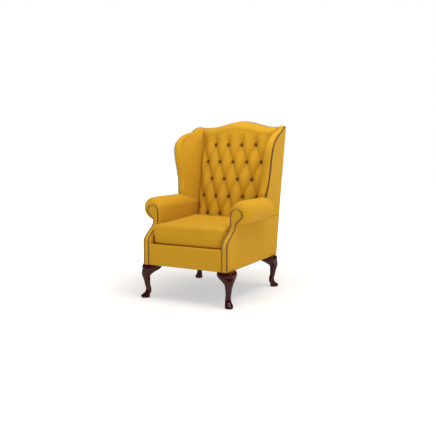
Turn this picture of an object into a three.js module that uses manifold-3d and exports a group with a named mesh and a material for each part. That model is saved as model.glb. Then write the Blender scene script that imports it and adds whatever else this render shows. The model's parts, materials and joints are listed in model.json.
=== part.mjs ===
// Wingback armchair with rolled scroll arms, a deep-buttoned back, a loose seat cushion,
// nail-head trim and cabriole legs.
// Lengths are millimetres: +X to the right as the chair is faced, +Y to its back, +Z up.
import * as THREE from "three";
import { mergeVertices } from "three/addons/utils/BufferGeometryUtils.js";
import Module from "manifold-3d";

const wasm = await Module();
wasm.setup();
const { lerp, clamp, smoothstep } = THREE.MathUtils;

// Clearances
const gap = 0.3; // between pieces that touch
const overrun = 2; // what a cutting shape runs past the face it cuts
const clothUnderNails = 0.6;

// Base and outside of the chair
const legHeight = 205;
const baseHalfWidth = 285; // outside face of the fabric
const facingFront = 336.3; // front face of the arm facings, ahead of the middle plane
const backFoot = 356; // outside back at the base, behind the middle plane
const backRake = 0.06; // lean of the outside back, run per rise
const backBow = 38; // how far the middle of the outside back bows out at the crest
const backBowFoot = 463; // height where the bow begins
const panelThickness = 8; // outside panels: cloth on its padding and board
const railHeight = 95;
const railThickness = 26;

// Seat
const webThickness = 2;
const webWidth = 50;
const deckThickness = 27;
const borderProud = 4; // front border ahead of the facings
const borderThickness = 16;
const cushionHeight = 115;
const cushionCrown = 12;
const cushionFront = 322; // front face of the cushion, ahead of the middle plane
const cushionEdge = 16; // rounding of its boxed edges
const cushionDrawIn = 5; // how far its sides pull in between the corners
const cushionClearance = 1;
const lipHeight = 1.5; // the deck's top stands this far above the border's

// Arms
const armBreadth = 50; // from the outside of the base to an arm's inner face
const seatHalfWidth = baseHalfWidth - armBreadth; // inner faces of the arms
const armRailDepth = 45;
const postThickness = 29;
const rowSpacing = 29.5; // between the inner and the outer nail row
const sweepStart = 345; // height where the facing leaves its upright foot
const sweepEnd = 458; // height of the neck under the scroll
const sweepDepth = 104.6;
const postBack = 170; // rear edge of the arm post, ahead of the middle plane
const postTop = 520;
const facingThickness = 3; // cloth on a thin padding over the post's front
const armSeam = 465; // underside of the rolled arm
const rollRadius = 67;
const rollOut = 17; // the roll's middle line, outwards of the base's side
const rollX = baseHalfWidth + rollOut;
const rollZ = 532;
const scrollRadius = 36; // nail circle on the scroll's face
const scrollInset = 0.5; // the scroll's middle, inwards of the base's side
const scrollX = baseHalfWidth - scrollInset;
const scrollZ = 515.5;
const scrollRound = 48; // length over which the roll's front end rounds off
const rollTail = 90; // where the roll's rounded rear end begins, behind the middle plane
const rollTailLength = 62;

// Wings
const wingFront = 125;
const wingDepth = 272;
const wingHeight = 566; // from the arm seam to the top of the wing
const wingThickness = 58;
const wingBulge = 22; // padding ahead of the nail row
const wingTopBulge = 7; // padding above it at the crest
const wingFlare = 0.165; // outward run per rise of the front edge
const rearFlare = 36; // how far the rear edge of the side stands out at its top
const rearFlarePower = 1.2;
const boardThickness = 22;
const boardSetback = 22;
// Front and top edge of the wing, as shares of its depth and height
const wingEdgeShares = [
  [-0.044, 0],
  [-0.044, 0.238],
  [-0.007, 0.326],
  [0.015, 0.432],
  [0.007, 0.538],
  [-0.011, 0.644],
  [0.009, 0.75],
  [0.051, 0.795],
  [0.099, 0.823],
  [0.191, 0.851],
  [0.313, 0.885],
  [0.482, 0.915],
  [0.695, 0.947],
  [0.779, 0.969],
  [0.904, 1],
  [1, 1],
];

// Buttoned back
const pitchShare = 0.416; // from button to button in a row, per half width of the seat
const buttonPitch = pitchShare * seatHalfWidth;
const rowPitch = 110.7;
const topRowZ = 917;
const buttonRows = [4, 5, 4, 5, 4]; // how many buttons each row has, from the top
const backAtTopRow = 321; // seat of the buttons, behind the middle plane, at the top row
const recline = 0.274; // lean of the inside back, run per rise
const backCurve = 1094; // radius of the inside back across its width
const backThickness = 38; // from the seat of the buttons to the back of the pad
const backFlare = 0.07; // outward run per rise of the back's sides above the arms
const backFlareFoot = 550; // height where that flare begins
const tuftHeight = 28;
const crestZ = 1031; // crest at its low ends
const crestRise = 41;
const crestShare = 0.86; // half width of the raised crest, per half width of the base
const crestHalfWidth = crestShare * baseHalfWidth;
const crestRound = 52;
const undercut = 17; // how far the pad's rear edge drops below the crest
const buttonRadius = 9.5;
const buttonHeight = 5;
const buttonLand = 10; // half width of the flat where a button sits
const postFootZ = 955; // top of the back posts, where the crest rail sits
const crestRailThickness = 20;
const crestSetback = 24;

// Trim
const nailWidth = 8;
const nailHeight = 3;

// Legs: the foot's middle, from the chair's middle planes
const footInset = 5; // inwards of the base's side
const footX = baseHalfWidth - footInset;
const footY = 318.5;
const kneeHalf = 46;
// Height, inset towards the chair's middle, half width, and squareness of the section
const legShares = [
  [0, 0, 0.5, 2],
  [0.03, 0, 0.54, 2],
  [0.08, -0.02, 0.53, 2],
  [0.15, 0.16, 0.45, 2],
  [0.25, 0.21, 0.39, 2],
  [0.39, 0.1, 0.38, 2],
  [0.54, 0.06, 0.45, 2],
  [0.67, 0, 0.56, 2.2],
  [0.755, 0.2, 0.8, 2.6],
  [0.865, 0.52, 1.1, 3.2],
  [0.93, 0.55, 1.09, 4],
  [1, 0.6, 1, 5],
];

const colours = {
  timber: 0xb98f5e,
  leg: 0x3a0f0a,
  fabric: 0xc8912f,
  webbing: 0x6b5a3c,
  lining: 0x2b2a28,
  nail: 0x8f8a80,
};

// Solids

// Turns a list of corner points and faces into a closed geometry that faces outwards.
function closed(points, faces) {
  const volume = faces.reduce((sum, [a, b, c]) => {
    const [p, q, r] = [a, b, c].map((i) => new THREE.Vector3(...points[i]));
    return sum + p.dot(q.cross(r));
  }, 0);
  const index = volume > 0 ? faces.flat() : faces.flatMap(([a, b, c]) => [a, c, b]);
  const geometry = new THREE.BufferGeometry();
  geometry.setAttribute("position", new THREE.Float32BufferAttribute(points.flat(), 3));
  geometry.setIndex(index);
  return geometry;
}

// A solid between two faces, each given as a point for two shares from 0 to 1.
function slab(columns, rows, near, far) {
  const points = [];
  for (const face of [near, far]) {
    for (let r = 0; r <= rows; r++) {
      for (let c = 0; c <= columns; c++) points.push(face(c / columns, r / rows));
    }
  }
  const wide = columns + 1;
  const at = (side, c, r) => (side * (rows + 1) + r) * wide + c;
  const faces = [];
  const quad = (a, b, c, d) => faces.push([a, b, c], [a, c, d]);
  for (let r = 0; r < rows; r++) {
    for (let c = 0; c < columns; c++) {
      quad(at(0, c, r), at(0, c + 1, r), at(0, c + 1, r + 1), at(0, c, r + 1));
      quad(at(1, c, r + 1), at(1, c + 1, r + 1), at(1, c + 1, r), at(1, c, r));
    }
    quad(at(0, 0, r), at(0, 0, r + 1), at(1, 0, r + 1), at(1, 0, r));
    quad(at(1, columns, r), at(1, columns, r + 1), at(0, columns, r + 1), at(0, columns, r));
  }
  for (let c = 0; c < columns; c++) {
    quad(at(1, c, 0), at(1, c + 1, 0), at(0, c + 1, 0), at(0, c, 0));
    quad(at(0, c, rows), at(0, c + 1, rows), at(1, c + 1, rows), at(1, c, rows));
  }
  return closed(points, faces);
}

// A solid through closed rings that all have the same number of points, with flat ends.
function loft(rings) {
  const count = rings[0].length;
  const points = rings.flat();
  const faces = [];
  for (let r = 0; r + 1 < rings.length; r++) {
    for (let i = 0; i < count; i++) {
      const j = (i + 1) % count;
      const [a, b] = [r * count + i, r * count + j];
      faces.push([a, b, b + count], [a, b + count, a + count]);
    }
  }
  for (const [ring, start] of [[rings[0], 0], [rings.at(-1), points.length - count]]) {
    const middle = points.length;
    points.push([0, 1, 2].map((k) => ring.reduce((sum, p) => sum + p[k], 0) / count));
    for (let i = 0; i < count; i++) {
      const [a, b] = [start + i, start + ((i + 1) % count)];
      faces.push(start === 0 ? [b, a, middle] : [a, b, middle]);
    }
  }
  return closed(points, faces);
}

// A box between two corners.
function box(low, high) {
  const face = (z) => (u, v) => [lerp(low[0], high[0], u), lerp(low[1], high[1], v), z];
  return slab(1, 1, face(high[2]), face(low[2]));
}

function solidOf(geometry) {
  const bare = geometry.index ? geometry.toNonIndexed() : geometry.clone();
  bare.deleteAttribute("normal");
  bare.deleteAttribute("uv");
  const merged = mergeVertices(bare);
  return new wasm.Manifold(
    new wasm.Mesh({
      numProp: 3,
      vertProperties: merged.attributes.position.array,
      triVerts: new Uint32Array(merged.index.array),
    }),
  );
}

function geometryOf(solid) {
  const mesh = solid.getMesh();
  const geometry = new THREE.BufferGeometry();
  geometry.setAttribute("position", new THREE.Float32BufferAttribute(mesh.vertProperties, 3));
  geometry.setIndex(Array.from(mesh.triVerts));
  return geometry;
}

function cut(geometry, ...tools) {
  const left = tools.reduce((solid, tool) => solid.subtract(solidOf(tool)), solidOf(geometry));
  return geometryOf(left);
}

function join(geometry, ...others) {
  const whole = others.reduce((solid, other) => solid.add(solidOf(other)), solidOf(geometry));
  return geometryOf(whole);
}

// The same piece on the chair's other side.
function mirrored(geometry) {
  const twin = geometry.clone();
  const place = twin.attributes.position;
  for (let i = 0; i < place.count; i++) place.setX(i, -place.getX(i));
  const index = twin.index.array;
  for (let i = 0; i < index.length; i += 3) [index[i + 1], index[i + 2]] = [index[i + 2], index[i + 1]];
  return twin;
}

// Surfaces that the pieces share

const railFoot = legHeight + gap;
const wingFoot = armSeam + gap;
const railTop = legHeight + railHeight;
const deckFoot = railTop + gap + webThickness + gap;
const deckTop = deckFoot + deckThickness;
const panelX = baseHalfWidth - panelThickness; // the panels' inner face at the base
const postX = panelX - gap; // outer face of the timber posts
const postInnerX = postX - postThickness;

// Outside back, and the furthest that the frame reaches behind it
const rearY = (z) => backFoot + backRake * (z - legHeight);
const frameRearY = (z) => rearY(z) - panelThickness - gap;

// How far the outside back bows out behind its straight sides
function bow(x, z) {
  const rise = Math.max(0, (z - backBowFoot) / (crestZ - backBowFoot));
  return backBow * rise * Math.max(0, 1 - (x / baseHalfWidth) ** 2);
}

// Half width of the room between the arms and between the wings
const roomHalf = (z) => seatHalfWidth + backFlare * Math.max(0, z - backFlareFoot);

// Outside of the sides, which flare above the arm seam
function outerX(y, z) {
  const front = baseHalfWidth + wingFlare * Math.max(0, z - armSeam);
  const rise = clamp((z - legHeight) / (wingFoot + wingHeight - legHeight), 0, 1);
  const rear = baseHalfWidth + rearFlare * rise ** rearFlarePower;
  return lerp(front, rear, clamp((y - wingFront) / wingDepth, 0, 1));
}
const innerX = (y, z) => outerX(y, z) - panelThickness - gap;

// Face of the arm facing: upright, swept back in an S, then upright under the scroll
const sweepY = (z) => -facingFront + sweepDepth * smoothstep(z, sweepStart, sweepEnd);
const sweepSteps = 10;
const sweepHeights = [legHeight + gap];
for (let i = 0; i <= sweepSteps; i++) {
  sweepHeights.push(lerp(sweepStart, sweepEnd, i / sweepSteps));
}
const scrollY = -facingFront + sweepDepth;

// Seat of the buttons, a leaning plane curved across the chair
const reclineY = (z) => backAtTopRow + recline * (z - topRowZ);
const buttonSeatY = (x, z) => reclineY(z) + x ** 2 / (2 * backCurve);
const padRearY = (z) => reclineY(z) + backThickness;
const crestTopZ = (x) => {
  const share = clamp(Math.abs(x) / crestHalfWidth, 0, 1);
  return crestZ + crestRise * (0.5 + 0.5 * Math.cos(Math.PI * share));
};

// Timber frame

const railY = (z) => frameRearY(z);
const rearRailBack = railY(legHeight);
const webReach = rearRailBack - railThickness / 2;
const frontRailFront = facingFront - borderThickness + borderProud - gap;

function frontSeatRail() {
  const half = postInnerX - gap;
  return box([-half, -frontRailFront, railFoot], [half, -frontRailFront + railThickness, railTop]);
}

function rearSeatRail() {
  const half = postInnerX - gap;
  return box([-half, rearRailBack - railThickness, railFoot], [half, rearRailBack, railTop]);
}

// Front edge of the back posts, just behind the back webbing
const backPostFrontY = (z) => padRearY(z) + gap + webThickness + gap;

function sideSeatRail() {
  const front = -postBack + gap;
  const face = (x) => (u, v) => {
    const z = lerp(railFoot, railTop, v);
    return [x, lerp(front, backPostFrontY(z) - gap, u), z];
  };
  return slab(1, 1, face(postX), face(postInnerX));
}

function backPost(grow) {
  const face = (x) => (u, v) => {
    const z = lerp(railFoot - grow, postFootZ + grow, v);
    return [x, lerp(backPostFrontY(z) - grow, frameRearY(z) + grow, u), z];
  };
  return slab(1, 1, face(postX + grow), face(postInnerX - grow));
}

// Rows of heights at which the S-curved pieces are worked out, up to the given top
const heightsTo = (top) => [...sweepHeights.filter((z) => z < top), top];

function armPost(grow) {
  const heights = heightsTo(postTop + grow);
  const rows = heights.length - 1;
  const face = (x) => (u, v) => {
    const z = heights[Math.round(v * rows)];
    return [x, lerp(sweepY(z) - grow, -postBack + grow, u), z];
  };
  return slab(1, rows, face(postX + grow), face(postInnerX - grow));
}

function armRail(grow) {
  const [low, high] = [armSeam - armRailDepth / 2, armSeam + armRailDepth / 2];
  const face = (x) => (u, v) => {
    const z = lerp(low - grow, high + grow, v);
    return [x, lerp(-postBack + gap - grow, backPostFrontY(low) - gap + grow, u), z];
  };
  return slab(1, 1, face(postX + grow), face(postInnerX - grow));
}

function crestRail(grow) {
  const half = postX + grow;
  const low = postFootZ + gap - grow;
  const face = (thickness) => (u, v) => {
    const x = lerp(-half, half, u);
    const z = lerp(low, crestTopZ(x) - crestSetback + grow, v);
    return [x, frameRearY(z) + bow(x, z) - 2 * gap + grow - thickness, z];
  };
  return slab(12, 1, face(crestRailThickness + 2 * grow), face(0));
}

// Legs

const legSides = 16;

function leg(sideX, sideY) {
  const rings = legShares.map(([height, inset, half, power]) => {
    const centre = [sideX * (footX - inset * kneeHalf), sideY * (footY - inset * kneeHalf)];
    return Array.from({ length: legSides }, (unused, i) => {
      const turn = ((i + 0.5) / legSides) * 2 * Math.PI;
      const [c, s] = [Math.cos(turn), Math.sin(turn)];
      const reach = (half * kneeHalf) / (Math.abs(c) ** power + Math.abs(s) ** power) ** (1 / power);
      return [centre[0] + reach * c, centre[1] + reach * s, height * legHeight];
    });
  });
  return loft(rings);
}

// Suspension

// Straps both ways, joined where they cross, on the surface that place gives.
function straps(columns, rows, width, height, place) {
  const strap = (u0, u1, v0, v1) => {
    const face = (depth) => (u, v) => place(lerp(u0, u1, u), lerp(v0, v1, v), depth);
    return slab(1, 1, face(webThickness), face(0));
  };
  const across = Array.from({ length: rows }, (unused, i) => {
    const middle = (i + 0.5) / rows;
    return strap(0, 1, middle - webWidth / height / 2, middle + webWidth / height / 2);
  });
  const along = Array.from({ length: columns }, (unused, i) => {
    const middle = (i + 0.5) / columns;
    return strap(middle - webWidth / width / 2, middle + webWidth / width / 2, 0, 1);
  });
  return join(across[0], ...across.slice(1), ...along);
}

// Cross straps lie on the side rails, long straps on the front and rear rails.
function seatWebbing() {
  const [front, back] = [-frontRailFront, webReach];
  const inner = postInnerX - gap;
  const long = straps(4, 1, 2 * inner, back - front, (u, v, depth) => [
    lerp(-inner, inner, u),
    lerp(front, back, v),
    railTop + gap + depth,
  ]);
  const crossFront = -postBack + gap;
  const crossBack = backPostFrontY(railTop) - webWidth;
  const cross = straps(1, 3, 2 * postX, crossBack - crossFront, (u, v, depth) => [
    lerp(-postX, postX, u),
    lerp(crossFront, crossBack, v),
    railTop + gap + depth,
  ]);
  return join(long, cross);
}

function backWebbing() {
  const half = postInnerX - gap;
  const [low, high] = [deckTop + webWidth, postFootZ - webWidth];
  return straps(3, 4, 2 * half, high - low, (u, v, depth) => {
    const z = lerp(low, high, v);
    return [lerp(-half, half, u), padRearY(z) + gap + depth, z];
  });
}

function dustCover() {
  const reach = postX - gap;
  const [front, back] = [facingFront - panelThickness, rearRailBack - panelThickness];
  const top = railFoot - gap;
  const cover = box([-reach, -front, top - webThickness], [reach, back, top]);
  const corners = [-1, 1].flatMap((sideX) => [-1, 1].map((sideY) => {
    const [x, y] = [sideX * footX, sideY * footY].map((place, axis) => {
      const side = axis ? sideY : sideX;
      return [place - side * 2 * kneeHalf, place + side * 2 * kneeHalf].sort((a, b) => a - b);
    });
    return box([x[0], y[0], top - webThickness - overrun], [x[1], y[1], top + overrun]);
  }));
  return cut(cover, ...corners);
}

// Seat

function seatDeck() {
  const half = postInnerX - gap;
  const back = padRearY(deckTop);
  return box([-half, -frontRailFront, deckFoot], [half, back, deckTop]);
}

function frontBorder() {
  const half = panelX - rowSpacing - nailWidth / 2 - gap;
  const front = -facingFront - borderProud;
  const top = deckTop - lipHeight;
  const face = (depth) => (u, v) => {
    const roll = v === 1 ? borderThickness / 4 : 0;
    const y = depth === 0 ? front + roll : front + borderThickness;
    return [lerp(-half, half, u), y, [railFoot, top - borderThickness / 4, top][Math.round(v * 2)]];
  };
  return slab(1, 2, face(0), face(1));
}

// The cushion's plan at a height: sides that pull in between cut corners.
function cushionRing(z, inset, bow) {
  const perSide = 8;
  const low = deckTop + gap;
  const half = seatHalfWidth - cushionClearance - inset;
  const foremostPad = buttonSeatY(0, low) - tuftHeight - cushionClearance;
  const back = foremostPad + recline * (z - low) - inset;
  const front = -cushionFront + inset;
  const corners = [[-half, front], [half, front], [half, back], [-half, back]];
  return corners.flatMap((corner, i) => {
    const next = corners[(i + 1) % corners.length];
    const [dx, dy] = [next[0] - corner[0], next[1] - corner[1]];
    const length = Math.hypot(dx, dy);
    return Array.from({ length: perSide }, (unused, k) => {
      const share = lerp(cushionEdge / length, 1 - cushionEdge / length, k / (perSide - 1));
      const pull = (bow * Math.sin(Math.PI * share)) / length;
      return [corner[0] + dx * share - dy * pull, corner[1] + dy * share + dx * pull, z];
    });
  });
}

function seatCushion() {
  const low = deckTop + gap;
  const high = low + cushionHeight;
  const edge = cushionEdge;
  const middle = (low + high) / 2;
  const rings = [
    cushionRing(low, edge, cushionDrawIn),
    cushionRing(low + edge / 3, edge / 3, cushionDrawIn),
    cushionRing(low + edge, 0, cushionDrawIn),
    cushionRing(middle, 0, cushionDrawIn / 2),
    cushionRing(high - edge, 0, cushionDrawIn),
    cushionRing(high - edge / 3, edge / 3, cushionDrawIn),
    cushionRing(high, edge, cushionDrawIn),
  ];
  const crownShares = [0.25, 0.5, 0.75];
  for (const share of crownShares) {
    const inset = lerp(edge, seatHalfWidth - edge, share);
    rings.push(cushionRing(high + cushionCrown * Math.sin((share * Math.PI) / 2), inset, 0));
  }
  return loft(rings);
}

// Outside panels

function outsideArm(grow) {
  const heights = [...heightsTo(armSeam - gap), armSeam + grow];
  const rows = heights.length - 1;
  const face = (depth) => (u, v) => {
    const z = heights[Math.round(v * rows)];
    const y = lerp(sweepY(z) - grow, frameRearY(z) + grow, u);
    return [outerX(y, z) + grow - depth, y, z];
  };
  return slab(4, rows, face(0), face(panelThickness + 2 * grow));
}

// Front and top edge of the wing in the side view, and the line at its rear
const wingEdge = new THREE.CatmullRomCurve3(
  wingEdgeShares.map(
    ([y, z]) => new THREE.Vector3(0, wingFront + y * wingDepth, wingFoot + z * wingHeight),
  ),
  false,
  "centripetal",
);
const wingSteps = 20;
const panelColumns = 3;

// Share along the wing's edge at a height of its upright stretch
const edgeShareAt = (z) => (z - wingFoot) / wingEdge.getLength();

// A place on the wing: share s along its edge, share t from that edge to the rear line,
// after a step of the given length out of the edge.
function wingPlace(s, t, step = 0) {
  const point = wingEdge.getPointAt(s);
  const along = wingEdge.getTangentAt(s);
  const [y, z] = [point.y - along.z * step, point.z + along.y * step];
  const rearZ = lerp(wingFoot, wingFoot + wingHeight - boardSetback / 4, s);
  return [lerp(y, frameRearY(rearZ), t), lerp(z, rearZ, t)];
}

function outsideWing(grow) {
  const face = (depth) => (u, v) => {
    const [y, z] = wingPlace(v, u);
    return [outerX(y, z) + grow - depth, y, z];
  };
  return slab(panelColumns, wingSteps, face(0), face(panelThickness + 2 * grow));
}

const crestColumns = 16;

function outsideBack() {
  const face = (depth) => (u, v) => {
    const reach = 2 * u - 1;
    const crestX = reach * outerX(wingFront + wingDepth, crestZ);
    const z = lerp(railFoot, crestTopZ(crestX), v);
    const x = reach * outerX(wingFront + wingDepth, Math.min(z, crestZ));
    return [x, rearY(z) + bow(x, z) - depth, z];
  };
  return slab(crestColumns, 12, face(0), face(panelThickness));
}

// The board laps the back post and stands on the arm rail.
function wingBoard(grow, outward = grow) {
  const foot = armSeam + armRailDepth / 2 + gap;
  const endShare = 0.95;
  const face = (depth) => (u, v) => {
    const share = lerp(edgeShareAt(foot), endShare, v) + (v * 2 * grow) / wingHeight;
    const [y, z] = wingPlace(share, u, -boardSetback + grow);
    const lifted = Math.max(z, foot - grow);
    return [innerX(y, lifted) + depth, Math.min(y, frameRearY(lifted)), lifted];
  };
  return slab(panelColumns, wingSteps, face(outward), face(-boardThickness - grow));
}

// Padding

// How thick the wing's front border is at a height: fullest at the middle.
function wingThicknessAt(z) {
  const share = clamp((z - wingFoot) / wingHeight, 0, 1);
  return wingThickness * (1 - 0.3 * (2 * share - 1) ** 2);
}

function wingPad() {
  const arm = [rollRun(gap), armRoll(gap), armInside(gap)];
  const board = wingBoard(gap, panelThickness / 2);
  return cut(wingStuffing(), ...arm, board, backPost(gap), crestRail(gap));
}

function wingStuffing() {
  const rounds = 6;
  const footShare = (rollZ + gap - wingFoot) / (wingHeight - boardSetback / 4);
  const rings = Array.from({ length: wingSteps + 1 }, (unused, step) => {
    const s = lerp(footShare, 1, step / wingSteps);
    const [edgeY, edgeZ] = wingPlace(s, 0);
    const [rearEdgeY, rearZ] = wingPlace(s, 1);
    const thick = wingThicknessAt(edgeZ) - panelThickness;
    const outer = innerX(edgeY, edgeZ);
    const inner = Math.max(outer - thick, roomHalf(edgeZ) + gap);
    const rearX = roomHalf(rearZ) + gap;
    const clearOfRail = rearZ > crestZ - crestSetback + gap;
    const innerRear = clearOfRail ? rearEdgeY : Math.min(padRearY(rearZ), rearEdgeY);
    const bulge = lerp(wingBulge, wingTopBulge, smoothstep(s, 0.5, 0.9));
    const ring = [];
    for (let i = 0; i <= panelColumns; i++) {
      const [y, z] = wingPlace(s, i / panelColumns);
      ring.push([innerX(y, z), y, z]);
    }
    ring.push([Math.max(postInnerX - gap, rearX + gap), innerRear, rearZ]);
    const innerSteps = 4;
    for (let i = 0; i < innerSteps; i++) {
      const share = 1 - i / innerSteps;
      const x = lerp(inner, rearX, share);
      ring.push([x, lerp(edgeY, innerRear, share), lerp(edgeZ, rearZ, share)]);
    }
    for (let i = rounds; i > 0; i--) {
      const turn = (Math.PI * i) / rounds;
      const [y, z] = wingPlace(s, 0, bulge * Math.sin(turn));
      ring.push([lerp(outer, inner, (1 - Math.cos(turn)) / 2), y, z]);
    }
    return ring;
  });
  return loft(rings);
}

const rollSides = 24;

function rollRing(y, x, z, radius) {
  return Array.from({ length: rollSides }, (unused, i) => {
    const turn = (i / rollSides) * 2 * Math.PI;
    return [x + radius * Math.cos(turn), y, z + radius * Math.sin(turn)];
  });
}

// The rolled arm: its front end closes on the scroll's face, its tail is rounded.
function armRoll(grow) {
  const quarter = [0, 1, 2, 3, 4].map((i) => (i / 4) * (Math.PI / 2));
  const flat = scrollRadius + nailWidth / 2 + gap;
  const front = quarter.toReversed().map((turn) => {
    const share = 1 - Math.cos(turn);
    const y = scrollY + scrollRound * (1 - Math.sin(turn)) - grow;
    const radius = lerp(rollRadius, flat, share) + grow;
    return rollRing(y, lerp(rollX, scrollX, share), lerp(rollZ, scrollZ, share), radius);
  });
  const tail = quarter.slice(0, -1).map((turn) => {
    const radius = rollRadius * Math.cos(turn) + grow;
    return rollRing(rollTail + rollTailLength * Math.sin(turn) + grow, rollX, rollZ, radius);
  });
  return loft([...front, ...tail]);
}

// The roll's run under the wing, back to the buttoned back.
function rollRun(grow) {
  const back = padRearY(rollZ) - gap;
  const ring = (y) => rollRing(y, rollX, rollZ, rollRadius + grow);
  const outside = (depth) => (u, v) => {
    const y = lerp(0, back + rollRadius, u);
    const z = lerp(rollZ - 2 * rollRadius, rollZ + 2 * rollRadius, v);
    return [innerX(y, z) + depth, y, z];
  };
  const run = loft([ring(0), ring(back + grow)]);
  return cut(run, slab(6, 6, outside(panelThickness / 2), outside(2 * rollRadius)));
}

// The flat stuffing on the arm's inner face, from the deck up into the roll.
function armInside(grow) {
  const heights = [deckTop + gap, ...sweepHeights.slice(1), rollZ + grow];
  const rows = heights.length - 1;
  const face = (x) => (u, v) => {
    const z = heights[Math.round(v * rows)];
    return [x, lerp(sweepY(z), padRearY(z) - gap + grow, u), z];
  };
  return slab(1, rows, face(seatHalfWidth - grow), face(postInnerX - gap + grow));
}

function armPad() {
  const pad = join(armRoll(0), rollRun(0), armInside(0));
  const board = wingBoard(gap, panelThickness / 2);
  const panels = [outsideArm(gap), outsideWing(gap)];
  return cut(pad, armPost(gap), armRail(gap), ...panels, board, backPost(gap));
}

// How far the tufts stand out of the buttons' seat, as a share, at a place on the back.
// The pleats run from each button to its nearest ones in the rows above and below.
function tuftShare(x, z) {
  const row = (topRowZ - z) / rowPitch;
  const column = x / buttonPitch - 0.5;
  const down = clamp(row, 0, buttonRows.length - 1);
  const across = Math.abs(Math.sin(Math.PI * (column + down / 2)));
  const back = Math.abs(Math.sin(Math.PI * (column - down / 2)));
  const pillow = Math.sqrt(across * back);
  const pleat = Math.hypot(across, back) / Math.SQRT2;
  const tuft = 0.55 * pillow + 0.45 * pleat;
  const fade = smoothstep(Math.abs(row - down), 0, 0.9);
  return lerp(tuft, 0.8, fade);
}

const buttons = buttonRows.flatMap((count, row) =>
  Array.from({ length: count }, (unused, column) => ({
    name: `button_${row + 1}_${column + 1}`,
    x: (column - (count - 1) / 2) * buttonPitch,
    z: topRowZ - row * rowPitch,
  })),
);

// Columns and rows of the back's grid: both edges of each button's flat, and between them.
function backColumns() {
  const most = Math.max(...buttonRows);
  const half = seatHalfWidth - gap;
  const places = [-half, half];
  for (let i = 0; i <= 2 * (most - 1); i++) {
    const x = (i / 2 - (most - 1) / 2) * buttonPitch;
    places.push(x - buttonLand, x + buttonLand);
    if (i > 0) places.push(x - buttonPitch / 4);
  }
  return places.sort((a, b) => a - b);
}

function backRowHeights() {
  const heights = [];
  buttonRows.forEach((unused, row) => {
    const z = topRowZ - row * rowPitch;
    heights.push(z + buttonLand, z - buttonLand);
    if (row > 0) heights.push(z + rowPitch / 2, z + rowPitch * 0.75, z + rowPitch * 0.27);
  });
  heights.push(deckTop + gap, (deckTop + topRowZ - (buttonRows.length - 1) * rowPitch) / 2);
  return heights.sort((a, b) => a - b);
}

function backPad() {
  const columns = backColumns();
  const heights = backRowHeights();
  const flatTop = heights.at(-1);
  const crestSteps = 2;
  const turnSteps = 4;
  const rows = heights.length - 1 + crestSteps + turnSteps;
  const half = columns.at(-1);
  const lowestRow = topRowZ - (buttonRows.length - 1) * rowPitch;
  const fullness = (z) => lerp(0.3, 1, smoothstep(z, deckTop, lowestRow));
  const tuftAt = (x, z) => tuftHeight * tuftShare(x, z) * fullness(z);
  const reach = buttonLand + gap;
  const seatAt = (x, z) => {
    const side = roomHalf(z) - gap;
    const near = buttons.find((b) => Math.abs(b.x - x) <= reach && Math.abs(b.z - z) <= reach);
    if (near) return buttonSeatY(near.x, z);
    const edge = smoothstep(Math.abs(x), side - buttonPitch / 4, side);
    return buttonSeatY(x, z) - tuftAt(x, z) * (1 - 0.6 * edge);
  };
  const front = (u, v) => {
    const column = columns[Math.round(u * (columns.length - 1))];
    const placed = (z) => (Math.abs(column) < half ? column : Math.sign(column) * (roomHalf(z) - gap));
    const onSeat = (z) => [placed(z), seatAt(placed(z), z), z];
    const r = Math.round(v * rows);
    if (r < heights.length) return onSeat(heights[r]);
    const topZ = crestTopZ(column);
    const springZ = topZ - crestRound;
    if (r < heights.length + crestSteps) {
      return onSeat(lerp(flatTop, springZ, (r - heights.length + 1) / crestSteps));
    }
    const turn = ((r - heights.length - crestSteps + 1) / turnSteps) * (Math.PI / 2);
    const z = springZ + crestRound * Math.sin(turn);
    const x = placed(z);
    const y = lerp(frameRearY(topZ) + bow(x, topZ), seatAt(x, springZ), Math.cos(turn));
    return [x, y, z];
  };
  const rim = (u, v) => {
    const [x, , frontZ] = front(u, v);
    const z = frontZ - v * undercut;
    const side = roomHalf(z) - gap;
    return [clamp(x, -side, side), padRearY(z), z];
  };
  const middleZ = (deckTop + crestZ) / 2;
  const pad = fanBacked(columns.length - 1, rows, front, rim, [0, padRearY(middleZ), middleZ]);
  return cut(pad, crestRail(gap));
}

// A solid with a gridded front, and a back that runs from its rim to one point in its middle.
function fanBacked(columns, rows, front, rim, middle) {
  const points = [];
  for (let r = 0; r <= rows; r++) {
    for (let c = 0; c <= columns; c++) points.push(front(c / columns, r / rows));
  }
  const at = (c, r) => r * (columns + 1) + c;
  const faces = [];
  for (let r = 0; r < rows; r++) {
    for (let c = 0; c < columns; c++) {
      faces.push([at(c, r), at(c + 1, r), at(c + 1, r + 1)], [at(c, r), at(c + 1, r + 1), at(c, r + 1)]);
    }
  }
  const loop = [];
  for (let c = 0; c < columns; c++) loop.push([c, 0]);
  for (let r = 0; r < rows; r++) loop.push([columns, r]);
  for (let c = columns; c > 0; c--) loop.push([c, rows]);
  for (let r = rows; r > 0; r--) loop.push([0, r]);
  const start = points.length;
  const back = loop.map(([c, r]) => rim(c / columns, r / rows));
  points.push(...back);
  points.push(middle);
  loop.forEach(([c, r], i) => {
    const next = (i + 1) % loop.length;
    const [a, b] = [at(c, r), at(...loop[next])];
    const [d, e] = [start + i, start + next];
    faces.push([b, a, d], [b, d, e], [e, d, points.length - 1]);
  });
  return closed(points, faces);
}

// A button: a low dome whose flat back faces the seat in the pad.
function button() {
  const profile = [
    [0, 0],
    [buttonRadius * 0.9, 0],
    [buttonRadius, buttonHeight * 0.3],
    [buttonRadius * 0.75, buttonHeight * 0.8],
    [0, buttonHeight],
  ].map(([r, h]) => new THREE.Vector2(r, h));
  return new THREE.LatheGeometry(profile, 10);
}

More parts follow.
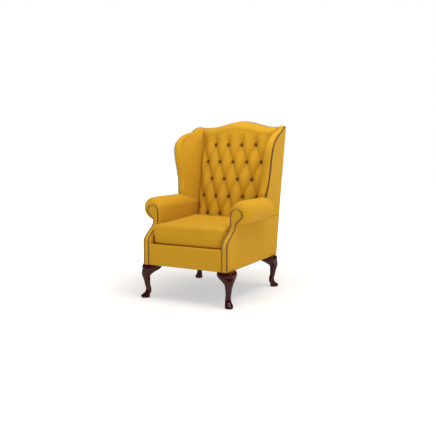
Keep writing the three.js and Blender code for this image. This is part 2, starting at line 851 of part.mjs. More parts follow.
// Nail-head trim: a low strip that follows points on the cloth, each with its outward normal.
function trim(stations) {
  const vectors = stations.map(({ place, out }) => [place, out].map((v) => new THREE.Vector3(...v)));
  const rings = vectors.map(([place, out], i) => {
    const before = vectors[Math.max(i - 1, 0)][0];
    const after = vectors[Math.min(i + 1, vectors.length - 1)][0];
    const along = after.clone().sub(before).normalize();
    const side = along.clone().cross(out).normalize();
    const corner = (across, height) =>
      place.clone().addScaledVector(side, (across * nailWidth) / 2).addScaledVector(out, height).toArray();
    const [foot, top] = [clothUnderNails, clothUnderNails + nailHeight];
    return [corner(-1, foot), corner(1, foot), corner(0.5, top), corner(-0.5, top)];
  });
  return loft(rings);
}

// The two sides of an arm facing, from its foot to the top of the scroll: upright rows and,
// round the scroll, half a circle each, all moved outwards by the given spread.
function facingSides(spread) {
  const arcSteps = 15;
  const arc = Array.from({ length: arcSteps + 1 }, (unused, i) => {
    const turn = Math.PI * lerp(1, -0.06, i / arcSteps);
    const reach = scrollRadius + spread;
    return [scrollX + reach * Math.cos(turn), scrollZ + reach * Math.sin(turn)];
  });
  const half = arc.length / 2;
  const inner = sweepHeights.map((z) => [panelX - rowSpacing - spread, z]);
  const outer = sweepHeights.map((z) => [panelX + spread, z]);
  return [[...inner, ...arc.slice(0, half)], [...outer, ...arc.slice(half).reverse()]];
}

const facingY = (z) => sweepY(z) - gap;

function armFacing() {
  const sides = facingSides(nailWidth / 2);
  const rows = sides[0].length - 1;
  const face = (depth) => (u, v) => {
    const [x, z] = sides[Math.round(u)][Math.round(v * rows)];
    return [x, facingY(z) - depth, z];
  };
  return slab(1, rows, face(0), face(facingThickness));
}

// One run per arm: up the inner side of the facing, round the scroll and down the outer side.
function armNails() {
  const step = (sweepEnd - sweepStart) / sweepSteps;
  const [inner, outer] = facingSides(0);
  return trim([...inner, ...outer.toReversed()].map(([x, z]) => {
    const slope = (sweepY(z + step / 2) - sweepY(z - step / 2)) / step;
    const out = new THREE.Vector3(0, -1, slope).normalize();
    return { place: [x, facingY(z) - facingThickness, z], out: out.toArray() };
  }));
}

// One run over both wings and the crest, at the stations of the panels that it edges.
function wingNails() {
  const middle = panelThickness / 2;
  const firstStep = Math.ceil(edgeShareAt(rollZ + rollRadius) * wingSteps);
  const side = Array.from({ length: wingSteps + 1 - firstStep }, (unused, i) => {
    const s = (firstStep + i) / wingSteps;
    const [y, z] = wingPlace(s, 0);
    const [upY, upZ] = wingPlace(s, 0, 1);
    return { place: [outerX(y, z) - middle, y, z], out: [0, upY - y, upZ - z] };
  });
  const reach = outerX(wingFront + wingDepth, crestZ);
  const crest = Array.from({ length: crestColumns - 1 }, (unused, i) => {
    const x = lerp(reach, -reach, (i + 1) / crestColumns);
    const z = crestTopZ(x);
    return { place: [x, rearY(z) + bow(x, z) - middle, z], out: [0, 0, 1] };
  });
  const corner = { place: [reach - middle, rearY(crestZ) - middle, crestZ], out: [0, 0, 1] };
  const run = [...side, corner];
  const other = run.toReversed().map(({ place, out }) => ({
    place: [-place[0], place[1], place[2]],
    out,
  }));
  return trim([...run, ...crest, ...other]);
}

// Assembly

const chair = new THREE.Group();

const finishes = {
  timber: { color: colours.timber, roughness: 0.7, metalness: 0 },
  leg: { color: colours.leg, roughness: 0.2, metalness: 0 },
  fabric: { color: colours.fabric, roughness: 0.95, metalness: 0 },
  webbing: { color: colours.webbing, roughness: 0.9, metalness: 0 },
  lining: { color: colours.lining, roughness: 0.95, metalness: 0 },
  nail: { color: colours.nail, roughness: 0.35, metalness: 1 },
};

function add(name, finish, geometry) {
  geometry.computeVertexNormals();
  const mesh = new THREE.Mesh(geometry, new THREE.MeshStandardMaterial(finishes[finish]));
  mesh.name = name;
  chair.add(mesh);
  return mesh;
}

function addPair(name, finish, geometry) {
  add(`${name}_right`, finish, geometry);
  add(`${name}_left`, finish, mirrored(geometry));
}

add("front_seat_rail", "timber", frontSeatRail());
add("rear_seat_rail", "timber", rearSeatRail());
addPair("side_seat_rail", "timber", sideSeatRail());
addPair("arm_post", "timber", armPost(0));
addPair("arm_rail", "timber", armRail(0));
addPair("back_post", "timber", backPost(0));
addPair("wing_board", "timber", cut(wingBoard(0), backPost(gap)));
add("crest_rail", "timber", crestRail(0));
addPair("leg_front", "leg", leg(1, -1));
addPair("leg_rear", "leg", leg(1, 1));
add("seat_webbing", "webbing", seatWebbing());
add("back_webbing", "webbing", backWebbing());
add("dust_cover", "lining", dustCover());
add("seat_deck", "lining", seatDeck());
add("seat_cushion", "fabric", seatCushion());
add("front_border", "fabric", frontBorder());
add("back_pad", "fabric", backPad());
addPair("arm_pad", "fabric", armPad());
addPair("wing_pad", "fabric", wingPad());
addPair("outside_arm", "fabric", outsideArm(0));
addPair("outside_wing", "fabric", outsideWing(0));
add("outside_back", "fabric", outsideBack());
addPair("arm_facing", "fabric", armFacing());
addPair("arm_nails", "nail", armNails());
add("wing_nails", "nail", wingNails());

for (const { name, x, z } of buttons) {
  const mesh = add(name, "fabric", button());
  mesh.position.set(x, buttonSeatY(x, z) - gap, z);
  mesh.rotation.x = Math.PI - Math.atan(recline);
}

// The origin is on the floor under the middle of the chair.
const extent = new THREE.Box3().setFromObject(chair);
const centre = extent.getCenter(new THREE.Vector3());
chair.position.set(-centre.x, -centre.y, -extent.min.z);

const model = new THREE.Group();
model.add(chair);
export default model;
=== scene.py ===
"""Wingback armchair: upholstery, nail trim, polished legs, studio light and camera.

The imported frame's solids carry the joint and the collision. Each soft or detailed piece made
here stands for the node it is named after. Lengths are metres: +X right, +Y back, +Z up.
Shapes are worked out from the chair's middle plane, midway between its front and rear feet,
and are moved along Y to the frame's origin as their meshes are made.
"""

import json
import logging
import math
from dataclasses import dataclass, field
from enum import Enum

import bpy
import numpy as np
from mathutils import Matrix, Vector
from numpy.typing import NDArray


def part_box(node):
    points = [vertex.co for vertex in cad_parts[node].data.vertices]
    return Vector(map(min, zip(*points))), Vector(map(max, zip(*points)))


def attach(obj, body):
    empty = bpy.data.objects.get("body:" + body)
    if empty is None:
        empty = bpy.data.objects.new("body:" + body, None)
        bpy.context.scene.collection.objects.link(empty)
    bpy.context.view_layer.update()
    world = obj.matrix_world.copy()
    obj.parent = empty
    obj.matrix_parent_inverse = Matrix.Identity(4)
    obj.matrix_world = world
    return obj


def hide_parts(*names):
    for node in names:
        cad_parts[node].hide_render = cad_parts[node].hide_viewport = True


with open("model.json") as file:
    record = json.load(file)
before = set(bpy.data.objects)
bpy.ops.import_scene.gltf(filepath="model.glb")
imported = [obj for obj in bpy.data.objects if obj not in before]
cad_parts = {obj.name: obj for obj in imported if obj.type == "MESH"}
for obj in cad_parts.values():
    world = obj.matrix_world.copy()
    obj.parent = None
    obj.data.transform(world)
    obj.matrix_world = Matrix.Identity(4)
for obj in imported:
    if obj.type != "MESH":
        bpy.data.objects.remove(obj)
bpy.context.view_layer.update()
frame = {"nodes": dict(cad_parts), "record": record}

Array = NDArray[np.float64]
Colour = tuple[float, float, float, float]
Socket = bpy.types.NodeSocket
LOG = logging.getLogger("armchair")


class Slot(Enum):
    """The record's material slots."""

    TIMBER = "timber"
    LEG = "leg"
    FABRIC = "fabric"
    WEBBING = "webbing"
    LINING = "lining"
    NAIL = "nail"


class Side(Enum):
    """A side of the chair, as it is faced."""

    RIGHT = 1
    LEFT = -1

    @property
    def word(self) -> str:
        """The side's name in a piece's name."""
        return self.name.lower()


# Shapes as arrays


def lerp(start: Array, end: Array, share: Array) -> Array:
    """Straight blend: start at share 0, end at share 1."""
    return start + (end - start) * share


def ramp(value: Array, low: float, high: float) -> Array:
    """Smooth step: 0 below low, 1 above high, 3t^2 - 2t^3 between them."""
    share = np.clip((value - low) / (high - low), 0.0, 1.0)
    return share * share * (3.0 - 2.0 * share)


def eased(places: Array, values: Array, at: Array) -> Array:
    """Cubic curve through values at increasing places.

    Each span is a Hermite cubic whose end slopes are the values' central differences.

    Args:
        places: Increasing positions of the known values.
        values: The known values.
        at: Positions to work out.

    Returns:
        The curve's values at those positions.
    """
    slopes = np.gradient(values, places)
    i = np.clip(np.searchsorted(places, at, side="right") - 1, 0, len(places) - 2)
    span = places[i + 1] - places[i]
    return hermite((at - places[i]) / span, values[i], values[i + 1], span * slopes[i], span * slopes[i + 1])


def hermite(t: Array, start: Array, end: Array, leave: Array, arrive: Array) -> Array:
    """Cubic curve from start at t = 0 to end at t = 1, whose slopes there are leave and arrive."""
    first = (2 * t**3 - 3 * t**2 + 1) * start + (t**3 - 2 * t**2 + t) * leave
    return first + (3 * t**2 - 2 * t**3) * end + (t**3 - t**2) * arrive


def softened(path: Array, count: int, reach: float) -> Array:
    """Evens out a path's points and rounds its corners.

    The path is resampled at equal lengths, then each point becomes the mean of the points
    within reach of it. The ends stay where they are.

    Args:
        path: Points of the path, shape (n, d).
        count: Number of points wanted.
        reach: Length over which corners are rounded, in metres.

    Returns:
        The new points, shape (count, d).
    """
    fine = resampled(path, 8 * count)
    step = np.linalg.norm(fine[1] - fine[0])
    half = max(1, int(reach / step / 2))
    before = 2 * fine[0] - fine[half:0:-1]
    after = 2 * fine[-1] - fine[-2 : -2 - half : -1]
    padded = np.cumsum(np.vstack([np.zeros_like(fine[:1]), before, fine, after]), axis=0)
    width = 2 * half + 1
    return resampled((padded[width:] - padded[:-width]) / width, count)


def path_length(path: Array) -> float:
    """Length of a path."""
    return float(np.linalg.norm(np.diff(path, axis=0), axis=1).sum())


def resampled(path: Array, count: int, table: Array | None = None) -> Array:
    """Points at equal lengths along a path, or another table's rows at the same places.

    Args:
        path: Points of the path, shape (n, d).
        count: Number of points wanted.
        table: What to read at those places, one row for each point of the path, if not the path.

    Returns:
        The new rows, one for each point wanted.
    """
    table = path if table is None else table
    along = np.concatenate([[0.0], np.cumsum(np.linalg.norm(np.diff(path, axis=0), axis=1))])
    at = np.linspace(0.0, along[-1], count)
    return np.stack([np.interp(at, along, column) for column in table.T], axis=1)


def evened(grid: Array) -> Array:
    """A grid whose sharp pleats are eased: each value becomes (before + 2 itself + after) / 4 both ways.

    Args:
        grid: Values, shape (n, m).

    Returns:
        The eased grid.
    """
    for _ in range(2):
        edged = np.pad(grid, ((1, 1), (0, 0)), mode="edge")
        grid = ((edged[:-2] + 2 * edged[1:-1] + edged[2:]) / 4).T
    return grid


def ripple(points: Array, seed: int, length: float) -> Array:
    """Gentle unevenness of stuffed cloth, about -1 to 1.

    Sum of six sine waves of nearly the given length, in seeded directions and phases.

    Args:
        points: Positions, shape (..., 3).
        seed: Seed of the directions and phases.
        length: Typical wavelength in metres.

    Returns:
        One number per point.
    """
    chance = np.random.default_rng(seed)
    waves = chance.normal(size=(6, 3))
    closeness = (2 * np.pi / length) * chance.uniform(0.6, 1.5, (6, 1))
    waves *= closeness / np.linalg.norm(waves, axis=1, keepdims=True)
    phases = chance.uniform(0, 2 * np.pi, 6)
    return np.sin(points @ waves.T + phases).sum(-1) / 3.0


@dataclass
class Surface:
    """A mesh being made: points, faces of one size per block, cloth directions and painted shade."""

    points: Array
    faces: list[NDArray[np.int64]]
    weave: list[Array]
    fold: Array

    def volume(self) -> float:
        """Signed volume, from the sum of each face fan's a . (b x c) / 6.

        Returns:
            The volume, negative if the faces point inwards.
        """
        total = 0.0
        for block in self.faces:
            a = self.points[block[:, 0]]
            for k in range(1, block.shape[1] - 1):
                b, c = self.points[block[:, k]], self.points[block[:, k + 1]]
                total += float(np.einsum("ij,ij->", a, np.cross(b, c)))
        return total / 6.0

    def outward(self) -> "Surface":
        """The same surface with its faces turned to point outwards.

        Returns:
            This surface.
        """
        if self.volume() < 0:
            self.faces = [block[:, ::-1] for block in self.faces]
            self.weave = [block[:, ::-1] for block in self.weave]
        return self

    def on_side(self, side: Side) -> "Surface":
        """The surface made for the right, or its mirror image for the left."""
        turned = Surface(self.points * [side.value, 1, 1], list(self.faces), list(self.weave), self.fold)
        return turned.outward()


def loft(rings: Array, split: int, fold: Array | None = None) -> Surface:
    """A closed surface through rings of points, with both ends filled.

    Point (i, j) is corner j of ring i. The ends are strips of triangles between the ring's
    near side, corners 0 to split, and its far side. Cloth runs by length along the ring and
    by mean length from ring to ring.

    Args:
        rings: Points, shape (rings, corners, 3).
        split: Last corner of each ring's near side.
        fold: Painted shade at each point, 0 to 1, shape (rings, corners).

    Returns:
        The surface, facing outwards.
    """
    n, k = rings.shape[:2]
    ring = np.concatenate([rings, rings[:, :1]], axis=1)
    across = np.cumsum(np.linalg.norm(np.diff(ring, axis=1), axis=2), axis=1)
    across = np.concatenate([np.zeros((n, 1)), across], axis=1)
    along = np.linalg.norm(np.diff(rings, axis=0), axis=2).mean(1)
    along = np.concatenate([[0.0], np.cumsum(along)])
    weave = np.stack([across, np.broadcast_to(along[:, None], across.shape)], axis=2)
    i, j = (a.ravel() for a in np.meshgrid(np.arange(n - 1), np.arange(k), indexing="ij"))
    rows, columns = np.stack([i, i, i + 1, i + 1], 1), np.stack([j, j + 1, j + 1, j], 1)
    near, far = split, k - split - 2
    a, b = np.arange(near), np.arange(far)
    held = ((a + 1) * far + near - 1) // near - 1
    gone = ((b + 1) * near) // far
    cap = np.concatenate([
        np.stack([a, a + 1, k - 1 - held], 1),
        np.stack([k - 2 - b, k - 1 - b, gone], 1),
    ])
    caps = np.concatenate([cap[:, ::-1], cap + (n - 1) * k])
    flat = weave[:, :k].reshape(-1, 2)
    return Surface(
        points=rings.reshape(-1, 3),
        faces=[rows * k + columns % k, caps],
        weave=[weave[rows, columns], flat[caps]],
        fold=np.zeros(n * k) if fold is None else fold.ravel(),
    ).outward()


def slab(front: Array, back: Array, fold: Array | None = None) -> Surface:
    """A closed sheet between two grids with the same rows, shapes (rows, columns, 3)."""
    if fold is not None:
        fold = np.concatenate([fold, np.zeros(back.shape[:2])], axis=1)
    return loft(np.concatenate([front, back[:, ::-1]], axis=1), front.shape[1] - 1, fold)


def studs(template: Surface, centres: Array, normals: Array) -> Surface:
    """Copies of a small piece whose axis is Z, one at each centre with its axis along the normal.

    Each point is centre + x t + y b + z n, where t is the X axis made square to n, b = n x t.

    Args:
        template: The small piece.
        centres: Places, shape (m, 3).
        normals: Outward directions, shape (m, 3).

    Returns:
        All the copies as one surface.
    """
    up = normals / np.linalg.norm(normals, axis=1, keepdims=True)
    x = np.array([1.0, 0.0, 0.0])
    side = x - up * (up @ x)[:, None]
    side /= np.linalg.norm(side, axis=1, keepdims=True)
    third = np.cross(up, side)
    local = template.points
    axes = (side, third, up)
    points = centres[:, None] + sum(local[None, :, k, None] * axes[k][:, None] for k in range(3))
    start = np.arange(len(centres))[:, None, None] * len(local)
    return Surface(
        points=points.reshape(-1, 3),
        faces=[(block[None] + start).reshape(-1, block.shape[1]) for block in template.faces],
        weave=[np.tile(block, (len(centres), 1, 1)) for block in template.weave],
        fold=np.tile(template.fold, len(centres)),
    ).outward()


def dome(radius: float, height: float, sides: int, rings: int, skirt: float) -> Surface:
    """A low dome on a short upright skirt, standing on the plane z = 0.

    Ring i has radius R cos(a) and height skirt + (height - skirt) sin(a), a from 0 to nearly
    a quarter turn. The rim gets the most painted shade and the crown none.

    Args:
        radius: Radius of the rim.
        height: Height of the crown.
        sides: Points round each ring.
        rings: Rings above the skirt.
        skirt: Height of the upright edge.

    Returns:
        The dome.
    """
    rise = np.linspace(0.0, 0.47 * np.pi, rings)
    radii = np.concatenate([[radius * 0.9], radius * np.cos(rise)])
    heights = np.concatenate([[0.0], skirt + (height - skirt) * np.sin(rise)])
    turn = np.linspace(0.0, 2 * np.pi, sides, endpoint=False)
    grid = np.stack([
        radii[:, None] * np.cos(turn),
        radii[:, None] * np.sin(turn),
        np.broadcast_to(heights[:, None], (rings + 1, sides)),
    ], axis=2)
    # Painted shade: full at the rim, none at the crown.
    depth = np.concatenate([[1.0], (1 - np.sin(rise))])
    return loft(grid, sides // 2 - 1, np.broadcast_to(depth[:, None], (rings + 1, sides)))


# Lines that the pieces share


@dataclass(frozen=True)
class Lines:
    """The chair's driving sizes, and the surfaces that its pieces share."""

    gap: float = 0.0003
    leg_height: float = 0.205
    base_half: float = 0.285
    facing_front: float = 0.3363
    back_foot: float = 0.356
    back_rake: float = 0.060
    back_bow: float = 0.038
    back_bow_foot: float = 0.463
    panel: float = 0.008
    rail_height: float = 0.095
    deck_thickness: float = 0.027
    border_proud: float = 0.004
    border_thickness: float = 0.016
    seat_half: float = 0.235
    row_spacing: float = 0.0295
    sweep_start: float = 0.345
    sweep_end: float = 0.458
    sweep_depth: float = 0.1046
    arm_seam: float = 0.465
    roll_radius: float = 0.067
    roll_x: float = 0.302
    roll_z: float = 0.532
    scroll_radius: float = 0.036
    scroll_x: float = 0.2845
    scroll_z: float = 0.5155
    scroll_round: float = 0.048
    roll_tail: float = 0.090
    roll_tail_length: float = 0.062
    facing_thickness: float = 0.003
    nail_strip: float = 0.008
    wing_front: float = 0.125
    wing_depth: float = 0.272
    wing_height: float = 0.566
    wing_step: float = 0.015
    wing_step_height: float = 0.100
    wing_flare: float = 0.13
    rear_flare: float = 0.036
    board_setback: float = 0.022
    button_pitch: float = 0.0978
    row_pitch: float = 0.1107
    top_row_z: float = 0.917
    button_rows: tuple[int, ...] = (4, 5, 4, 5, 4)
    back_at_top_row: float = 0.321
    recline: float = 0.274
    back_curve: float = 1.094
    back_thickness: float = 0.038
    back_flare: float = 0.07
    back_flare_foot: float = 0.550
    crest_z: float = 1.031
    crest_rise: float = 0.041
    crest_half: float = 0.245
    crest_setback: float = 0.024

    @property
    def rail_foot(self) -> float:
        """Underside of the upholstery."""
        return self.leg_height + self.gap

    @property
    def wing_foot(self) -> float:
        """Foot of the outside wing."""
        return self.arm_seam + self.gap

    @property
    def deck_top(self) -> float:
        """Top of the platform under the cushion."""
        return self.leg_height + self.rail_height + 2 * self.gap + 0.002 + self.deck_thickness

    @property
    def panel_x(self) -> float:
        """Inner face of the outside panels at the base."""
        return self.base_half - self.panel

    @property
    def lowest_row_z(self) -> float:
        """Height of the lowest row of buttons."""
        return self.top_row_z - (len(self.button_rows) - 1) * self.row_pitch

    def rear_y(self, z: Array) -> Array:
        """Outside back: a plane that leans back by back_rake."""
        return self.back_foot + self.back_rake * (z - self.leg_height)

    def frame_rear_y(self, z: Array) -> Array:
        """Inner face of the outside back."""
        return self.rear_y(z) - self.panel - self.gap

    def bow(self, x: Array, z: Array) -> Array:
        """How far the outside back bows out: back_bow times the height's share times 1 - (x / half)^2."""
        rise = np.maximum(0.0, (z - self.back_bow_foot) / (self.crest_z - self.back_bow_foot))
        return self.back_bow * rise * np.maximum(0.0, 1 - (x / self.base_half) ** 2)

    def room_half(self, z: Array) -> Array:
        """Half width of the room between the arms, and between the wings above them."""
        return self.seat_half + self.back_flare * np.maximum(0.0, z - self.back_flare_foot)

    def outer_x(self, y: Array, z: Array) -> Array:
        """Outside of the sides.

        Blend, from the wing's front to its rear, of a line that steps out above the arm seam
        and flares on by wing_flare, and one that flares by rear_flare times the height's
        share to the 1.2.

        Args:
            y: Distance behind the middle plane.
            z: Height.

        Returns:
            X of the right side there.
        """
        step = self.wing_step * ramp(z, self.arm_seam, self.arm_seam + self.wing_step_height)
        front = self.base_half + step + self.wing_flare * np.maximum(0.0, z - self.arm_seam)
        full = self.wing_foot + self.wing_height - self.leg_height
        rear = self.base_half + self.rear_flare * np.clip((z - self.leg_height) / full, 0, 1) ** 1.2
        return lerp(front, rear, np.clip((y - self.wing_front) / self.wing_depth, 0, 1))

    def inner_x(self, y: Array, z: Array) -> Array:
        """Inner face of the outside panels."""
        return self.outer_x(y, z) - self.panel - self.gap

    def sweep_y(self, z: Array) -> Array:
        """Front of the arm: upright, swept back in an S, then upright under the scroll."""
        return -self.facing_front + self.sweep_depth * ramp(z, self.sweep_start, self.sweep_end)

    def facing_y(self, z: Array) -> Array:
        """Front of the facing cloth, where the nails sit."""
        return self.sweep_y(z) - self.gap - self.facing_thickness

    def button_seat_y(self, x: Array, z: Array) -> Array:
        """Seat of the buttons: a leaning plane plus x^2 / 2R."""
        lean = self.back_at_top_row + self.recline * (z - self.top_row_z)
        return lean + x**2 / (2 * self.back_curve)

    def pad_rear_y(self, z: Array) -> Array:
        """Back of the buttoned pad."""
        return self.button_seat_y(np.zeros_like(z), z) + self.back_thickness

    def crest_top_z(self, x: Array) -> Array:
        """Crest: crest_z plus a cosine hump of crest_rise."""
        share = np.clip(np.abs(x) / self.crest_half, 0, 1)
        return self.crest_z + self.crest_rise * (0.5 + 0.5 * np.cos(np.pi * share))


WING_EDGE_SHARES = (
    (-0.044, 0.0), (-0.044, 0.238), (-0.007, 0.326), (0.015, 0.432), (0.007, 0.538), (-0.011, 0.644),
    (0.009, 0.75), (0.051, 0.795), (0.099, 0.823), (0.191, 0.851), (0.313, 0.885), (0.482, 0.915),
    (0.695, 0.947), (0.779, 0.969), (0.904, 1.0), (1.0, 1.0),
)


class WingEdge:
    """Front and top edge of a wing in the side view.

    A centripetal Catmull-Rom curve through WING_EDGE_SHARES of the wing's depth and height,
    followed by length.
    """

    def __init__(self, lines: Lines) -> None:
        """Works out the curve.

        Args:
            lines: The chair's sizes.
        """
        self.lines = lines
        shares = np.array(WING_EDGE_SHARES)
        knots = np.stack([
            lines.wing_front + shares[:, 0] * lines.wing_depth,
            lines.wing_foot + shares[:, 1] * lines.wing_height,
        ], axis=1)
        knots = np.vstack([2 * knots[0] - knots[1], knots, 2 * knots[-1] - knots[-2]])
        p0, p1, p2, p3 = knots[:-3], knots[1:-2], knots[2:-1], knots[3:]
        spans = ((p0, p1), (p1, p2), (p2, p3))
        d0, d1, d2 = (np.sqrt(np.linalg.norm(b - a, axis=1))[:, None] for a, b in spans)
        start = ((p1 - p0) / d0 - (p2 - p0) / (d0 + d1) + (p2 - p1) / d1) * d1
        end = ((p2 - p1) / d1 - (p3 - p1) / (d1 + d2) + (p3 - p2) / d2) * d1
        t = np.linspace(0, 1, 64, endpoint=False)[:, None]
        curve = hermite(t, *(row[:, None] for row in (p1, p2, start, end)))
        self.path = resampled(np.vstack([curve.reshape(-1, 2), knots[-2]]), 2001)
        self.length = path_length(self.path)
        self.tangents = np.gradient(self.path, axis=0)
        self.tangents /= np.linalg.norm(self.tangents, axis=1, keepdims=True)

    def at(self, share: Array, table: Array) -> Array:
        """Row of a table of the curve at a share of its length, shape (..., 2)."""
        spot = np.asarray(share) * (len(table) - 1)
        steps = np.arange(len(table))
        return np.stack([np.interp(spot, steps, table[:, k]) for k in (0, 1)], axis=-1)

    def place(self, s: Array, t: Array, step: Array | float = 0.0) -> tuple[Array, Array]:
        """A place on the wing, seen from the side.

        Args:
            s: Share along the edge.
            t: Share from the edge to the rear line, which rises evenly with s.
            step: Length out of the edge, square to it.

        Returns:
            The place's Y and Z.
        """
        lines = self.lines
        point, along = self.at(s, self.path), self.at(s, self.tangents)
        y, z = point[..., 0] - along[..., 1] * step, point[..., 1] + along[..., 0] * step
        rear_z = lerp(lines.wing_foot, lines.wing_foot + lines.wing_height - lines.board_setback / 4, s)
        return lerp(y, lines.frame_rear_y(rear_z), t), lerp(z, rear_z, t)


# Finishes


class NodeSheet:
    """A material's nodes, with short calls to add and join them."""

    def __init__(self, name: str) -> None:
        """Starts an empty material with one Principled shader.

        Args:
            name: The material's name.
        """
        self.material = bpy.data.materials.new(name)
        self.material.use_nodes = True
        self.tree = self.material.node_tree
        self.tree.nodes.clear()
        self.shader = self.tree.nodes.new("ShaderNodeBsdfPrincipled")
        output = self.tree.nodes.new("ShaderNodeOutputMaterial")
        self.join(self.shader.outputs["BSDF"], output.inputs["Surface"])

    def join(self, source: Socket, target: Socket) -> None:
        """Links one socket to another."""
        self.tree.links.new(source, target)

    def feed(self, target: Socket, value: object) -> None:
        """Links a socket to the value if that is a socket, and otherwise sets it to the value.

        Args:
            target: The socket.
            value: Another node's socket, or a value.
        """
        if isinstance(value, Socket):
            self.join(value, target)
        else:
            target.default_value = value

    def add(self, kind: str, **inputs: object) -> bpy.types.Node:
        """Adds a node and fills its inputs, with a value or from another node's socket.

        Args:
            kind: The node's type, without its ShaderNode prefix.
            **inputs: Input names, with _ for a space, or node settings in lower case.

        Returns:
            The node.
        """
        node = self.tree.nodes.new("ShaderNode" + kind)
        for name, value in inputs.items():
            if name[0].islower():
                setattr(node, name, value)
                continue
            self.feed(node.inputs[name.replace("_", " ")], value)
        return node

    def maths(self, operation: str, first: object, second: object = 0.0) -> Socket:
        """Result of a Math node on two numbers or sockets.

        Args:
            operation: The node's operation.
            first: A number or a socket.
            second: The same.

        Returns:
            The result's socket.
        """
        node = self.add("Math", operation=operation)
        for socket, value in zip(node.inputs, (first, second)):
            self.feed(socket, value)
        return node.outputs[0]

    def mixed(self, share: object, first: object, second: object, way: str = "MIX") -> Socket:
        """Colour from a Mix node between two colours or sockets.

        Args:
            share: How much of the second one shows, a number or a socket.
            first: A colour or a socket.
            second: The same.
            way: The node's way of blending.

        Returns:
            The colour's socket.
        """
        node = self.add("Mix", data_type="RGBA", blend_type=way)
        sockets = (node.inputs[0], node.inputs[6], node.inputs[7])
        for socket, value in zip(sockets, (share, first, second)):
            self.feed(socket, value)
        return node.outputs[2]

    def grain(self, source: Socket, scale: tuple[float, float, float], detail: float) -> Socket:
        """Noise, 0 to 1, on coordinates stretched by a scale."""
        stretched = self.add("Mapping", Vector=source, Scale=scale)
        return self.add("TexNoise", Vector=stretched.outputs[0], Scale=1.0, Detail=detail).outputs[0]

    def spread(self, source: Socket, low: float, high: float) -> Socket:
        """Number from 0 to 1 turned into one from low to high."""
        return self.maths("ADD", self.maths("MULTIPLY", source, high - low), low)


@dataclass(frozen=True)
class WovenCloth:
    """Plain-woven upholstery cloth: crossed threads, slubs, and painted shade deep in folds, seams and
    dimples.
    """

    name: str = "mustard_cloth"
    colour: Colour = (0.535, 0.279, 0.0155, 1.0)
    # Colour of the painted shade, where the piece's shade attribute is high.
    deep: Colour = (0.022, 0.007, 0.006, 1.0)
    thread: float = 0.0011
    relief: float = 0.0005
    sheen: float = 0.04
    sheen_roughness: float = 0.45
    sheen_tint: Colour = (1.0, 0.82, 0.5, 1.0)
    roughness: float = 0.92
    specular: float = 0.09

    def build(self) -> bpy.types.Material:
        """The material, whose weave follows the piece's own weave map.

        Returns:
            The material.
        """
        sheet = NodeSheet(self.name)
        weave = sheet.add("UVMap", uv_map="weave").outputs[0]
        parts = sheet.add("SeparateXYZ", Vector=weave)
        over = [
            sheet.maths("SINE", sheet.maths("MULTIPLY", parts.outputs[k], math.pi / self.thread))
            for k in (0, 1)
        ]
        crossing = sheet.maths("MULTIPLY", over[0], over[1])
        slubs = sheet.maths(
            "ADD",
            sheet.grain(weave, (60.0, 900.0, 1.0), 2.0),
            sheet.grain(weave, (900.0, 60.0, 1.0), 2.0),
        )
        cloud = sheet.grain(weave, (9.0, 9.0, 9.0), 3.0)
        tone = sheet.maths("ADD", sheet.spread(slubs, -0.2, 0.0), sheet.spread(cloud, 0.94, 1.06))
        tone = sheet.maths("ADD", tone, sheet.maths("MULTIPLY", crossing, 0.035))
        # Painted shade: the cloth turns towards the deep colour as the piece's shade attribute rises.
        depth = sheet.add("Attribute", attribute_name="fold").outputs["Fac"]
        cloth = sheet.mixed(depth, self.colour, self.deep)
        bright = sheet.add("CombineColor", Red=tone, Green=tone, Blue=tone).outputs[0]
        sheet.join(sheet.mixed(1.0, cloth, bright, "MULTIPLY"), sheet.shader.inputs["Base Color"])
        height = sheet.maths("ADD", sheet.maths("MULTIPLY", crossing, 0.5), slubs)
        bump = sheet.add("Bump", Strength=0.35, Distance=self.relief, Height=height)
        sheet.join(bump.outputs[0], sheet.shader.inputs["Normal"])
        sheet.shader.inputs["Roughness"].default_value = self.roughness
        sheet.shader.inputs["Specular IOR Level"].default_value = self.specular
        sheet.shader.inputs["Sheen Weight"].default_value = self.sheen
        sheet.shader.inputs["Sheen Roughness"].default_value = self.sheen_roughness
        sheet.shader.inputs["Sheen Tint"].default_value = self.sheen_tint
        return sheet.material


@dataclass(frozen=True)
class PolishedWood:
    """Stained wood with long grain and, if it is polished, a clear coat."""

    name: str
    dark: Colour
    light: Colour
    roughness: float
    coat: float
    specular: float = 0.3
    coat_roughness: float = 0.08

    def build(self) -> bpy.types.Material:
        """The material, whose grain runs up the piece in Object coordinates.

        Returns:
            The material.
        """
        sheet = NodeSheet(self.name)
        place = sheet.add("TexCoord").outputs["Object"]
        figure = sheet.grain(place, (26.0, 26.0, 3.5), 4.0)
        pores = sheet.grain(place, (520.0, 520.0, 26.0), 2.0)
        broad, fine = sheet.maths("MULTIPLY", figure, 0.75), sheet.maths("MULTIPLY", pores, 0.25)
        share = sheet.maths("ADD", broad, fine)
        streaks = sheet.add("MapRange", Value=share, From_Min=0.36, From_Max=0.66)
        sheet.join(sheet.mixed(streaks.outputs[0], self.dark, self.light), sheet.shader.inputs["Base Color"])
        bump = sheet.add("Bump", Strength=0.12, Distance=0.0004, Height=pores)
        sheet.join(bump.outputs[0], sheet.shader.inputs["Normal"])
        rough = sheet.spread(figure, self.roughness * 0.8, self.roughness * 1.2)
        sheet.join(rough, sheet.shader.inputs["Roughness"])
        sheet.shader.inputs["Specular IOR Level"].default_value = self.specular
        sheet.shader.inputs["Coat Weight"].default_value = self.coat
        sheet.shader.inputs["Coat Roughness"].default_value = self.coat_roughness
        return sheet.material


